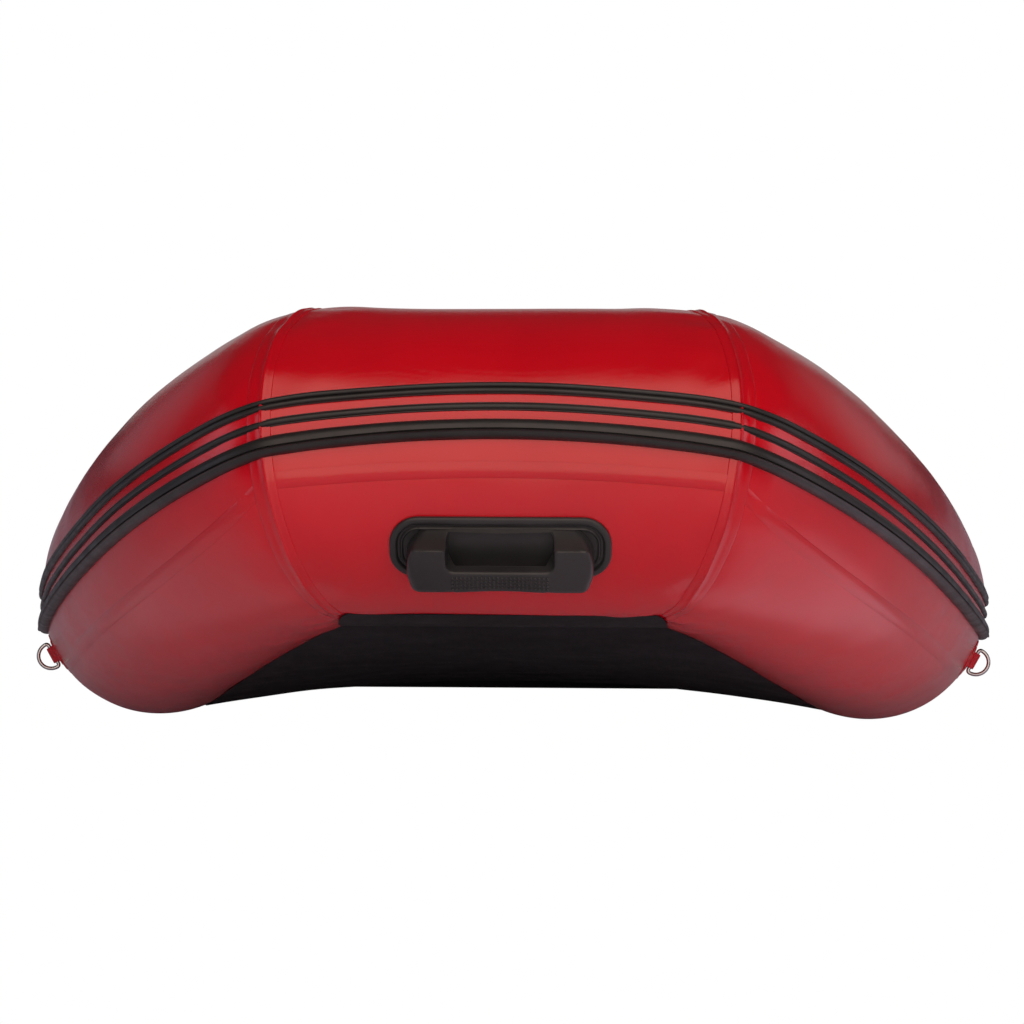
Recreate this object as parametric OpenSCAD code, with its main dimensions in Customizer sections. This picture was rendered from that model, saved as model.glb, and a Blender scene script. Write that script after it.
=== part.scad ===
// Inflatable dinghy with an air deck, plywood transom, sliding thwart and oars.
// +Z is up, the bow points along -Y and +X is the port side.
// The origin is on the ground, in the middle of the hull's length and beam.

/* [Tubes] */
// Outside radius of the buoyancy tubes
tube_r = 190; // [176:1:204]
// Thickness of the coated tube fabric
fabric_t = 1.2; // [0.8:0.1:2]
// Length of the hull over all
hull_len = 2900; // [2800:10:3100]
// Distance between the axes of the two side tubes
tube_spacing = 1186; // [1140:2:1230]
// Length of each stern cone
cone_len = 300; // [260:5:340]
// Radius of each stern cone at its tip
cone_tip_r = 64; // [54:1:80]

/* [Bow] */
// Length of the straight bow tube, between the points where its axis turns
bow_len = 412; // [386:2:438]
// Height of the bow tube's axis above the side tubes' axes
bow_rise = 335; // [310:5:360]
// Distance from the bow tube's axis back to the end of the curved sections
bow_reach = 1010; // [970:10:1050]
// Sideways angle between the bow tube and the start of each curved section
bow_turn = 36.2; // [33.4:0.2:38.8]
// Angle at which each curved section starts downwards
bow_drop = 16.9; // [13.9:0.2:19.9]
// How far each curved section holds its first direction
bow_pull = 235; // [205:5:265]
// How far each curved section holds its last direction
side_pull = 240; // [220:5:260]

/* [Seam tapes and baffles] */
// Thickness of the seam tapes
tape_t = 0.5; // [0.4:0.1:0.9]
// Half width of the seam tapes
tape_half_w = 12; // [9:1:15]
// Depth of the cone that each baffle forms
baffle_depth = 60; // [40:5:90]

/* [Rub strakes] */
// Angle of the middle strake on the bow tube at the mitre seams
strake_mitre_deg = 19.8; // [17.8:0.2:21.6]
// How much higher the strakes run at the middle of the bow, as an angle
strake_crown_deg = 6.7; // [4.5:0.1:8.5]
// Angle of the middle strake on the side tubes
strake_side_deg = -5; // [-8:0.5:-1]
// Angle from the middle strake up to the upper strake
upper_step_deg = 6.8; // [6.2:0.1:8]
// Angle from the middle strake down to the lower strake
lower_step_deg = 8.1; // [7.4:0.1:9]
// Width of the upper strake
upper_w = 14.5; // [12:0.5:16.5]
// Height of the upper strake
upper_h = 5.4; // [4:0.2:7]
// Width of the middle strake
middle_w = 10; // [7:0.5:12]
// Height of the middle strake
middle_h = 4.5; // [3:0.5:6.5]
// Width of the lower strake
lower_w = 23.5; // [20:0.5:26]
// Height of the lower strake
lower_h = 13.5; // [10:0.5:17]

/* [Bottom sheet] */
// Thickness of the bottom sheet
sheet_t = 1.5; // [1:0.1:2.5]
// Angle of the glued edge under the bow tube
sheet_bow_deg = -64; // [-68:1:-60]
// Distance from the curved sections back to where the sheet lies flat
sheet_flat_inset = 160; // [140:5:190]
// Rise of the sheet's middle behind the bow
sheet_arch = 46; // [36:1:50]

/* [Bow handle] */
// Width of the handle's base plate
handle_w = 254; // [236:2:270]
// Girth of the handle's base plate
handle_girth = 80; // [73:1:86]
// Angle of the middle of the base plate below the front of the bow tube
handle_deg = -24; // [-25.5:0.5:-22.5]
// Thickness of the base plate
handle_plate_t = 5.5; // [4:0.5:7]
// Width of the grip moulding
grip_w = 226; // [212:2:232]
// How far the grip stands out from the tube
grip_proud = 36; // [31:1:41]
// Width of the finger gap
finger_w = 121; // [100:1:136]

/* [Tow rings] */
// Wire radius of the tow rings
ring_wire_r = 2.3; // [1.9:0.1:2.8]
// Width of the tow rings between the middles of their legs
ring_w = 40; // [36:1:44]
// Straight length of the legs of the tow rings
ring_leg = 4; // [2:0.5:8]
// Radius of the tow ring patches
ring_patch_r = 32; // [28:1:33]
// Thickness of the glued patches
patch_t = 1.5; // [1:0.1:2.5]
// Angle of the tow rings on the tubes
ring_deg = -27; // [-30:1:-26]
// Share of the curved section ahead of the tow rings
ring_at = 0.78; // [0.72:0.01:0.84]

/* [Air deck] */
// Thickness of the air deck
deck_t = 60; // [50:1:70]
// Corner radius of the air deck
deck_corner_r = 110; // [90:5:140]

/* [Transom] */
// Distance from the stern tips forward to the middle of the transom
transom_inset = 550; // [500:10:600]
// Thickness of the transom board
transom_t = 25; // [20:1:30]
// Height of the transom beside the motor cut-out
transom_h = 400; // [392:1:410]
// Height of the motor cut-out above the ground
motor_h = 381; // [370:1:390]
// Width of the motor cut-out at its bottom
motor_w = 300; // [270:5:340]
// Distance of each tow eye from the middle
tow_eye_x = 250; // [220:5:280]
// Height of the tow eyes above the ground
tow_eye_z = 250; // [200:5:300]
// Width of the transom holders along the tubes
holder_w = 66; // [60:1:76]
// Thickness of the rubber in the transom holders
holder_t = 5; // [4:0.5:6]
// Depth of the groove that holds the board
groove_d = 11; // [8:0.5:14]

/* [Drain] */
// Radius of the drain's bore
drain_r = 12; // [10:0.5:14]
// Height of the drain above the ground
drain_z = 100; // [94:1:120]
// Distance of the drain from the middle
drain_x = 180; // [160:5:220]

/* [Thwart] */
// Length of each thwart rail
rail_len = 800; // [700:10:900]
// Distance from the stern tips forward to the middle of the rails
rail_inset = 1240; // [1215:5:1245]
// Distance of the rails from the side tubes' axes, towards the cockpit
rail_in = 95; // [86:1:104]
// Height of the middle of the rail's bead above the side tubes' axes
rail_up = 188; // [185:1:193]
// Radius of the bead along the rails
bead_r = 5; // [4:0.5:6]
// Length of the thwart along the boat
thwart_l = 230; // [200:5:260]
// Thickness of the thwart board
thwart_t = 18; // [15:1:22]
// Width of the clips under the thwart
clip_w = 36; // [30:1:40]

/* [Oars and oarlocks] */
// Distance from the stern tips forward to the oarlocks
lock_inset = 1160; // [1135:5:1185]
// Angle of the oarlocks on the side tubes
lock_deg = 83; // [80:1:86]
// Radius of the oarlock pins
lock_pin_r = 6; // [5:0.5:7]
// Height of the oar's axis above the tube
oar_up = 84; // [82:1:92]
// Radius of the oar shafts
oar_r = 16; // [14:0.5:17]
// Length from the oarlock to the end of the grip
oar_in = 400; // [370:10:430]
// Length from the oarlock to the tip of the blade
oar_out = 1050; // [980:10:1100]
// Width of the oar blades
blade_w = 136; // [110:2:144]
// Length of the oar blades
blade_l = 400; // [340:10:440]
// Thickness of the oar blades
blade_t = 8; // [6:0.5:10]

/* [Valves] */
// Radius of the valve bodies inside the tubes
valve_r = 18; // [16:0.5:20]
// Radius of the valve flanges
valve_flange_r = 26; // [24:0.5:30]
// Travel of the valve poppets
valve_travel = 5; // [3:0.5:6]
// Angle of the valves on the tubes
valve_deg = 135; // [130:1:142]
// Distance from the stern tips forward to the side valves
side_valve_inset = 820; // [780:10:860]

/* [Carry handles] */
// Distance from the stern tips forward to the carry handles
carry_inset = 900; // [850:10:950]
// Angle of the carry handles on the side tubes
carry_deg = 33; // [30:1:38]
// Length of the carry handles' grips
carry_l = 150; // [130:5:180]
// Radius of the carry handles' grips
carry_r = 11; // [9:0.5:13]

/* [Hidden] */
$fn = 48;

// Clearances
glue_gap = 0.3;              // between glued soft pieces
seam_gap = 0.2;              // between tube sections at a seam
over_tape = 2 * glue_gap + tape_t;   // from the tubes to what lies over their tapes
fit = 0.3;                   // between seated pieces
run = 0.05;                  // running clearance of pins in bores
far = 3000;                  // larger than the boat, for cutting
RUBBER = [0.06, 0.06, 0.065];
RED = [0.72, 0.08, 0.07];
STEEL = [0.75, 0.76, 0.78];

// Places worked out from the driving sizes
stern_y = hull_len / 2;
bow_y = tube_r + over_tape + lower_h - stern_y;
side_x = tube_spacing / 2;
side_z = sheet_t + over_tape + tube_r;
bow_z = side_z + bow_rise;
curve_end_y = bow_y + bow_reach;
cone_y = stern_y - cone_len;
transom_y = stern_y - transom_inset;
rail_y = stern_y - rail_inset;
lock_y = stern_y - lock_inset;

// ---- Line of the tubes ----
CURVE_STEPS = 16;
BOW_STEPS = 5;
ROUND = 32;
TAPE_ROUND = 3 * ROUND;      // finer, so that the flats of a tape stay off the tubes
SHEAR_END = 0.3;             // share of the curve where its rings stop leaning with the mitre
turn_start = [bow_len / 2, bow_y, bow_z];
turn_dir = [cos(bow_drop) * cos(bow_turn), cos(bow_drop) * sin(bow_turn), -sin(bow_drop)];
turn_end = [side_x, curve_end_y, side_z];
function unit(v) = v / norm(v);
mitre_n = unit([1, 0, 0] + turn_dir);
function mirrored(d) = d - 2 * (d * mitre_n) * mitre_n;
function mix(a, b, f) = a * (1 - f) + b * f;
function smooth(f) = let (g = min(max(f, 0), 1)) g * g * (3 - 2 * g);

// Axis of the port curved section, a cubic with u from 0 to 1, and straight beyond it
function curve_ctrl() = [turn_start, turn_start + turn_dir * bow_pull,
    turn_end - [0, side_pull, 0], turn_end];
function axis_at(u) = let (p = curve_ctrl(), w = 1 - u)
    w * w * w * p[0] + 3 * w * w * u * p[1] + 3 * w * u * u * p[2] + u * u * u * p[3];
function dir_at(u) = let (p = curve_ctrl(), w = 1 - u)
    unit(w * w * (p[1] - p[0]) + 2 * w * u * (p[2] - p[1]) + u * u * (p[3] - p[2]));
function out_at(t) = unit(cross(t, [0, 0, 1]));
function girth_dir(t, deg) = let (o = out_at(t), v = cross(o, t)) o * cos(deg) + v * sin(deg);

// Point at radius rho and angle deg of ring i of the curve; ring 0 lies on the mitre
function curve_pt(i, deg, rho) = let (
    u = i / CURVE_STEPS, t = dir_at(u), d = girth_dir(t, deg),
    lean = pow(max(0, 1 - u / SHEAR_END), 2),
    slide = -rho * (d * mitre_n) / (t * mitre_n))
    axis_at(u) + rho * d + t * (slide * lean + (i == 0 ? seam_gap : 0));
function bow_pt(x, deg, rho) = [x, bow_y - rho * cos(deg), bow_z + rho * sin(deg)];
function side_pt(y, deg, rho) = [side_x + rho * cos(deg), y, side_z + rho * sin(deg)];
function flip_x(ring) = [for (p = ring) [-p[0], p[1], p[2]]];

// Angle on the curve that meets angle deg of the bow tube at the mitre
function past_mitre(deg) = let (
    d = mirrored([0, -cos(deg), sin(deg)]), o = out_at(turn_dir), v = cross(o, turn_dir))
    atan2(d * v, d * o);

// Solid between rings of points, either capped or running back into its first ring.
// A flat sheet's ring is capped as a strip, between its upper and its lower row of points
module swept(rings, closed = false, sheet = false) {
    m = len(rings[0]);
    n = len(rings);
    quads = [for (k = [0 : closed ? n - 1 : n - 2], j = [0 : m - 1])
        let (a = k * m, b = ((k + 1) % n) * m, j2 = (j + 1) % m) [a + j, a + j2, b + j2, b + j]];
    sides = [for (q = quads) each [[q[0], q[1], q[2]], [q[0], q[2], q[3]]]];
    last = (n - 1) * m;
    strip = [for (j = [0 : m / 2 - 2]) each [[j + 1, j, m - 1 - j], [m - 2 - j, j + 1, m - 1 - j]]];
    caps = closed ? []
        : sheet ? concat(strip, [for (f = strip) [last + f[2], last + f[1], last + f[0]]])
        : [[for (j = [m - 1 : -1 : 0]) j], [for (j = [0 : m - 1]) last + j]];
    polyhedron([for (r = rings) each r], concat(sides, caps), convexity = 6);
}

// ---- Placing helpers ----
module other_side() { mirror([1, 0, 0]) children(); }
// Local +Z is the outward normal at angle deg, and the origin is on the tube's axis
module on_side(y, deg) { translate([side_x, y, side_z]) rotate([0, 90 - deg, 0]) children(); }
module on_bow(x, deg) { translate([x, bow_y, bow_z]) rotate([90 - deg, 0, 0]) children(); }
module cyl_x(r, h) { rotate([0, 90, 0]) cylinder(r = r, h = h, center = true); }
module cyl_y(r, h) { rotate([90, 0, 0]) cylinder(r = r, h = h, center = true); }
module shell_y(r1, r2, h) {
    difference() {
        cyl_y(r2, h);
        cyl_y(r1, h + 2);
    }
}
module slab(l, w, h) { translate([-l / 2, -w / 2, 0]) cube([l, w, h]); }
module rounded(l, w, r) {
    square([l - 2 * r, w], center = true);
    square([l, w - 2 * r], center = true);
    for (sx = [-1, 1], sy = [-1, 1]) translate([sx * (l / 2 - r), sy * (w / 2 - r)]) circle(r);
}

// ---- Tubes ----
module half_space(point, n) {
    translate(point) rotate([0, acos(n[2]), atan2(n[1], n[0])]) slab(far, far, far);
}
module bow_tube() {
    color(RED) difference() {
        translate([0, bow_y, bow_z]) cyl_x(tube_r, bow_len + 2 * tube_r);
        translate([0, bow_y, bow_z]) cyl_x(tube_r - fabric_t, bow_len + 2 * tube_r + 2);
        half_space(turn_start, mitre_n);
        other_side() half_space(turn_start, mitre_n);
        on_bow(0, valve_deg) valve_hole(tube_r);
    }
}
module bow_curve() {
    angles = [for (j = [0 : ROUND - 1]) -j * 360 / ROUND];
    outer = [for (i = [0 : CURVE_STEPS]) [for (a = angles) curve_pt(i, a, tube_r)]];
    inner = [for (i = [CURVE_STEPS : -1 : 0]) [for (a = angles) curve_pt(i, a, tube_r - fabric_t)]];
    color(RED) swept(concat(outer, inner), closed = true);
}
module side_tube() {
    length = cone_y - curve_end_y - seam_gap;
    color(RED) difference() {
        translate([side_x, cone_y - length / 2, side_z]) shell_y(tube_r - fabric_t, tube_r, length);
        on_side(stern_y - side_valve_inset, valve_deg) valve_hole(tube_r);
    }
}
module stern_cone() {
    color(RED) translate([side_x, cone_y + seam_gap, side_z]) rotate([-90, 0, 0]) difference() {
        cylinder(r1 = tube_r, r2 = cone_tip_r, h = cone_len - cap_t);
        translate([0, 0, -0.01]) cylinder(r1 = tube_r - fabric_t, r2 = cone_tip_r - fabric_t,
            h = cone_len - cap_t + 0.02);
    }
}
cap_t = 14;                  // part of the stern cap that stands behind the cone
cap_lip = 5;                 // how far the stern cap overhangs the cone's tip
cap_rim = 7;                 // depth of the rounding round the stern cap
module stern_cap() {
    color(RUBBER) translate([side_x, stern_y, side_z]) rotate([-90, 0, 0]) rotate_extrude()
        polygon([[0, -cap_t + seam_gap + fit], [cone_tip_r + cap_lip, -cap_t + seam_gap + fit],
            [cone_tip_r + cap_lip, -cap_rim], [cone_tip_r + 1, -cap_rim / 3],
            [cone_tip_r - cap_rim, 0], [0, 0]]);
}
module baffle() {
    r = tube_r - fabric_t - glue_gap;
    flange = 20;             // glued band round the edge of the baffle
    behind_seam = 30;        // how far the baffle sits behind the seam
    color("dimgray") translate([side_x, curve_end_y + behind_seam, side_z]) rotate([-90, 0, 0])
        rotate_extrude() polygon([[0, baffle_depth], [r - fabric_t, fabric_t], [r - fabric_t, flange],
            [r, flange], [r, 0], [r - fabric_t, 0], [0, baffle_depth - fabric_t]]);
}

// ---- Seam tapes ----
// Angles past the mitre are those of the curve, so the bow side is found by mirroring
function mitre_side_pt(back, deg, rho) = let (
    d = mirrored(girth_dir(turn_dir, deg)), slide = -rho * (d * mitre_n) / mitre_n[0])
    turn_start + rho * d + [slide - back, 0, 0];
function curve_mix(i, f, deg, rho) = mix(curve_pt(i, deg, rho), curve_pt(i + 1, deg, rho), f);
module tape(stations) {
    color(RED) swept(concat([for (r = stations) r[0]], [for (k = [len(stations) - 1 : -1 : 0])
        stations[k][1]]), closed = true);
}
function tape_ring(angles, which, rho) = [for (a = angles)
    which == 0 ? mitre_side_pt(tape_half_w, a, rho)
    : which == 1 ? curve_pt(0, a, rho)
    : which == 2 ? curve_mix(0, tape_half_w / step_len(0), a, rho)
    : which == 3 ? curve_mix(CURVE_STEPS - 1, 1 - tape_half_w / step_len(CURVE_STEPS - 1), a, rho)
    : which == 4 ? curve_pt(CURVE_STEPS, a, rho)
    : side_pt(curve_end_y + tape_half_w, a, rho)];
function step_len(i) = norm(axis_at((i + 1) / CURVE_STEPS) - axis_at(i / CURVE_STEPS));
module seam_tape(first) {
    angles = [for (j = [0 : TAPE_ROUND - 1]) -j * 360 / TAPE_ROUND];
    inside = tube_r + glue_gap;
    tape([for (k = [first : first + 2])
        [tape_ring(angles, k, inside + tape_t), tape_ring(angles, k, inside)]]);
}
module mitre_tapes() {
    seam_tape(0);
    other_side() seam_tape(0);
}
module side_tapes() {
    seam_tape(3);
    other_side() seam_tape(3);
}

// ---- Rub strakes ----
STRAKE_FADE = 0.18;          // share of the curve in which the strakes settle to their side angle
function strake_deg(u) = let (start = past_mitre(strake_mitre_deg))
    strake_side_deg + (start - strake_side_deg) * exp(-u / STRAKE_FADE);
function strake_bow_deg(x) = let (reach = bow_len / 2 + tube_r * 0.35)
    strake_mitre_deg + strake_crown_deg * (1 - pow(x / reach, 2));
function girth_deg(w) = w / (tube_r + over_tape) * 180 / PI;
function strake_ring(s, step, profile) = let (seat = tube_r + over_tape)
    [for (p = profile) let (d = step + girth_deg(p[0]), rho = seat + p[1])
        s < 0 ? let (x = bow_len / 2 * (1 + (s + 1) / BOW_STEPS)) bow_pt(x, strake_bow_deg(x) + d, rho)
        : s <= CURVE_STEPS ? curve_pt(s, strake_deg(s / CURVE_STEPS) + d, rho)
        : side_pt(cone_y - fit, strake_deg(1) + d, rho)];
module strake(step, profile) {
    port = [for (s = [-BOW_STEPS - 1 : CURVE_STEPS + 1]) strake_ring(s, step, profile)];
    n = len(port);
    color(RUBBER) swept(concat([for (k = [n - 1 : -1 : 1]) flip_x(port[k])], port));
}
// Profiles run round the strake as pairs of girth and height
function bead_profile(w, h) = concat([[w / 2, 0]],
    [for (a = [20 : 28 : 160]) [w / 2 * cos(a), h * sin(a)]], [[-w / 2, 0], [0, 0]]);
function twin_profile(w, h) = [[w / 2, 0], [w / 2, h * 0.55], [w * 0.4, h * 0.92], [w * 0.26, h],
    [w * 0.1, h * 0.85], [0, h * 0.5], [-w * 0.1, h * 0.85], [-w * 0.26, h], [-w * 0.4, h * 0.92],
    [-w / 2, h * 0.55], [-w / 2, 0], [0, 0]];
function fender_profile(w, h) = [[w / 2, 0], [w / 2, h * 0.35], [w * 0.42, h * 0.68],
    [w * 0.26, h * 0.92], [w * 0.08, h], [-w * 0.1, h * 0.96], [-w * 0.17, h * 0.78],
    [-w * 0.26, h * 0.86], [-w * 0.42, h * 0.62], [-w / 2, h * 0.3], [-w / 2, 0], [-w / 6, 0],
    [w / 6, 0]];
module upper_strake() { strake(upper_step_deg, twin_profile(upper_w, upper_h)); }
module middle_strake() { strake(0, bead_profile(middle_w, middle_h)); }
module lower_strake() { strake(-lower_step_deg, fender_profile(lower_w, lower_h)); }

// ---- Bottom sheet ----
SHEET_COLS = 12;
LAY_STEPS = 4;
sheet_end_y = transom_y + holder_w / 2;
sheet_flat_y = curve_end_y + sheet_flat_inset;
sheet_tuck = 8;              // how far inboard of the lowest line the edges are glued, as an angle
// Share of the way, aft of the curve, from the arched section to the flat one
function sheet_lay(s) = min(1, max(0, (s - CURVE_STEPS) / LAY_STEPS));
function sheet_edge(s) = let (start = past_mitre(sheet_bow_deg),
    deg = mix(start, -90 - sheet_tuck, smooth(s / CURVE_STEPS / SHEAR_END)))
    s <= CURVE_STEPS ? curve_pt(s, deg, tube_r + over_tape)
    : side_pt(s > CURVE_STEPS + LAY_STEPS ? sheet_end_y : mix(curve_end_y, sheet_flat_y, sheet_lay(s)),
        -90 - sheet_tuck * (1 - sheet_lay(s)), tube_r + over_tape);
function sheet_bump(s) = smooth((s / CURVE_STEPS - 0.15) / 0.6) * (1 - sheet_lay(s));
function sheet_row(s, drop) = let (e = sheet_edge(s), w = sheet_arch * sheet_bump(s))
    [for (j = [0 : SHEET_COLS]) let (f = 1 - 2 * j / SHEET_COLS)
        [e[0] * f, e[1], e[2] + w * (1 - f * f) - drop]];
module bottom_sheet() {
    rows = [for (s = [0 : CURVE_STEPS + LAY_STEPS + 1]) let (below = sheet_row(s, sheet_t))
        concat(sheet_row(s, 0), [for (j = [SHEET_COLS : -1 : 0]) below[j]])];
    color(RUBBER) swept([for (k = [len(rows) - 1 : -1 : 0]) rows[k]], sheet = true);
}

// ---- Bow handle ----
// Sector of a band round the bow tube, between radii and angles, centred on x
module bow_band(r1, r2, deg1, deg2, w) {
    translate([0, bow_y, bow_z]) rotate([0, -90, 0]) rotate([0, 0, deg1 - 90])
        rotate_extrude(angle = deg2 - deg1) translate([r1, -w / 2]) square([r2 - r1, w]);
}
module handle_outline(w, girth, r, deg, h) { on_bow(0, deg) linear_extrude(h) rounded(w, girth, r); }
handle_half_deg = handle_girth / 2 / tube_r * 180 / PI;
module bow_handle_plate() {
    seat = tube_r + glue_gap;
    color(RUBBER) intersection() {
        bow_band(seat, seat + handle_plate_t, handle_deg - handle_half_deg - 2,
            handle_deg + handle_half_deg + 2, handle_w + 4);
        handle_outline(handle_w, handle_girth, handle_girth * 0.4, handle_deg, tube_r * 2);
    }
}
grip_top_deg = handle_deg + handle_half_deg - 4;
grip_low_deg = handle_deg - handle_half_deg - 4;
grip_seat = tube_r + glue_gap + handle_plate_t + fit;
GRIP_STEPS = 24;
bar_t = 15.5;               // thickness of the grip bar
bar_deg = 11.4;             // girth of the grip bar, as an angle
bar_low_deg = 4.4;          // how far it lies above the grip's lower end, as an angle
bar_root = 11;               // how far it runs into each end
shoulder = 12.5;            // how much less the grip stands out at its top
skirt = 3;                   // thickness at the grip's rim
function on_girth(rho, deg) = [-rho * cos(deg), rho * sin(deg)];
function rounding(u) = u >= 1 ? 1 : sqrt(1 - (1 - u) * (1 - u));
function grip_r(t) = let (full = grip_proud - skirt - shoulder * smooth((t - 0.35) / 0.45))
    max(grip_seat, tube_r + full * rounding(t / 0.22) * rounding((1 - t) / 0.12)) + skirt;
module across_bow(x, w) {
    translate([x - w / 2, bow_y, bow_z]) rotate([90, 0, 90]) linear_extrude(w) children();
}
module grip_end_outline() {
    steps = [for (i = [0 : GRIP_STEPS]) i / GRIP_STEPS];
    polygon(concat(
        [for (t = steps) on_girth(grip_r(t), mix(grip_low_deg, grip_top_deg, t))],
        [for (t = steps) on_girth(grip_seat, mix(grip_top_deg, grip_low_deg, t))]));
}
module bar_outline() {
    mid_r = tube_r + grip_proud - 1 - bar_t / 2;
    mid_deg = grip_low_deg + bar_low_deg + bar_deg / 2;
    polygon([for (i = [0 : GRIP_STEPS - 1]) let (a = 360 * i / GRIP_STEPS)
        on_girth(mid_r + bar_t / 2 * blunt(sin(a)), mid_deg - bar_deg / 2 * blunt(cos(a)))]);
}
function blunt(s) = sign(s) * pow(abs(s), 0.6);
module bow_handle_grip() {
    end_w = (grip_w - finger_w) / 2;
    color(RUBBER) union() {
        for (side = [-1, 1]) across_bow(side * (finger_w + end_w) / 2, end_w) grip_end_outline();
        across_bow(0, finger_w + 2 * bar_root) bar_outline();
    }
}

// ---- Tow rings ----
// Local +Z is the outward normal and +X runs round the girth, from the tube's axis
module at_tow_ring() {
    t = dir_at(ring_at);
    z = girth_dir(t, ring_deg);
    x = girth_dir(t, ring_deg + 90);
    y = cross(z, x);
    p = axis_at(ring_at);
    multmatrix([[x[0], y[0], z[0], p[0]], [x[1], y[1], z[1], p[1]], [x[2], y[2], z[2], p[2]],
        [0, 0, 0, 1]]) children();
}
patch_top = tube_r + glue_gap + patch_t;
ring_axis_z = patch_top + 2 * ring_wire_r;
loop_l = ring_w - 2 * ring_wire_r - 8;
module ring_patch() {
    bore_r = ring_wire_r + 2 * run;
    loop_r = bore_r + 3;
    color(RED) at_tow_ring() difference() {
        union() {
            intersection() {
                shell_y(tube_r + glue_gap, patch_top, 4 * ring_patch_r);
                cylinder(r = ring_patch_r, h = 2 * tube_r);
            }
            translate([0, 0, ring_axis_z]) cyl_x(loop_r, loop_l);
            translate([0, 0, patch_top - 1]) slab(loop_l, 2 * loop_r, ring_axis_z - patch_top + 1);
        }
        translate([0, 0, ring_axis_z]) cyl_x(bore_r, loop_l + 2);
    }
}
module tow_ring() {
    half = ring_w / 2;
    color(STEEL) at_tow_ring() translate([0, 0, ring_axis_z]) {
        cyl_x(ring_wire_r, ring_w);
        for (side = [-half, half]) translate([side, 0, 0]) {
            sphere(ring_wire_r);
            cylinder(r = ring_wire_r, h = ring_leg);
        }
        translate([0, 0, ring_leg]) rotate([90, 0, 0]) rotate_extrude(angle = 180)
            translate([half, 0]) circle(ring_wire_r);
    }
}

// ---- Air deck ----
deck_z = sheet_t + fit;
deck_edge_r = deck_t / 2;
deck_half_w = side_x + deck_edge_r - sqrt(pow(tube_r + deck_edge_r + fit, 2)
    - pow(side_z - deck_z - deck_edge_r, 2));
deck_y1 = sheet_flat_y - 10;  // its rounded front reaches over the rise of the sheet
deck_y2 = transom_y - holder_w / 2 - 4;
module deck_solid(inset) {
    r = deck_edge_r - inset;
    l = deck_y2 - deck_y1 - 2 * deck_edge_r;
    w = 2 * (deck_half_w - deck_edge_r);
    corner = deck_corner_r - deck_edge_r;
    cx = w / 2 - corner;
    cy = l / 2 - corner;
    translate([0, (deck_y1 + deck_y2) / 2, deck_z + deck_edge_r]) {
        translate([0, 0, -r]) linear_extrude(2 * r) rounded(w, l, corner);
        for (side = [-1, 1]) {
            translate([side * w / 2, 0, 0]) cyl_y(r, 2 * cy);
            translate([0, side * l / 2, 0]) cyl_x(r, 2 * cx);
        }
        for (k = [0 : 3]) rotate([0, 0, k * 90]) translate([k % 2 == 0 ? cx : cy,
            k % 2 == 0 ? cy : cx, 0]) rotate_extrude(angle = 90) translate([corner, 0]) circle(r);
    }
}
deck_valve = [-deck_half_w + 120, deck_y2 - 130, deck_z + deck_t];
module air_deck() {
    color([0.55, 0.56, 0.58]) difference() {
        deck_solid(0);
        deck_solid(fabric_t);
        translate(deck_valve) valve_hole(0);
    }
}

// ---- Transom ----
board_r = tube_r + glue_gap + holder_t + fit;
holder_r = board_r + groove_d;
board_z = deck_z;
holder_from_deg = 122;       // girth of the tube that the holders cover
holder_to_deg = 243;
board_half_w = side_x - board_r * cos(65);   // where the board's edge leaves the holders
eye_pos = [for (side = [-1, 1]) [side * tow_eye_x, transom_y, tow_eye_z]];
pad_z = motor_h - 6;         // top of the motor pads
board_shoulder = 40;         // run of the sloping sides of the motor cut-out
module board_outline() {
    half_notch = motor_w / 2;
    difference() {
        polygon([[-board_half_w, board_z], [board_half_w, board_z], [board_half_w, transom_h],
            [half_notch + board_shoulder, transom_h], [half_notch, motor_h], [-half_notch, motor_h],
            [-half_notch - board_shoulder, transom_h], [-board_half_w, transom_h]]);
        for (side = [-1, 1]) translate([side * side_x, side_z]) circle(board_r);
    }
}
module through_board(x, z, r) { translate([x, transom_y, z]) cyl_y(r, 2 * transom_t); }
module transom_board() {
    color([0.62, 0.63, 0.64]) difference() {
        translate([0, transom_y + transom_t / 2, 0]) rotate([90, 0, 0])
            linear_extrude(transom_t) board_outline();
        through_board(drain_x, drain_z, drain_neck_r + run);
        for (e = eye_pos) eye_studs(e) through_board(0, 0, eye_stud_r + run);
        pad_screws(screw_r + run);
    }
}
module holder_band(r1, r2, w, y) {
    translate([side_x, transom_y + y, side_z]) rotate([-90, 0, 0]) rotate([0, 0, -holder_to_deg])
        rotate_extrude(angle = holder_to_deg - holder_from_deg) translate([r1, -w / 2])
            square([r2 - r1, w]);
}
module transom_holder() {
    lip = (holder_w - transom_t) / 2 - fit;
    color(RUBBER) {
        holder_band(tube_r + glue_gap, board_r - fit, holder_w, 0);
        for (side = [-1, 1])
            holder_band(board_r - fit - 0.5, holder_r, lip, side * (holder_w - lip) / 2);
    }
}
// Motor pads, one each side of the board
outer_pad = [280, 210, 5];
inner_pad = [280, 110, 8];
screw_r = 2.5;
screw_head_r = 5;
screw_head_h = 3;
screw_l = 9;                 // thread in the board
screw_in = 15;               // distance of the screws from the pads' edges
module pad_places(size) {
    for (sx = [-1, 1], dz = [screw_in, size[1] - screw_in])
        translate([sx * (size[0] / 2 - screw_in), 0, pad_z - dz]) children();
}
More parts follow.
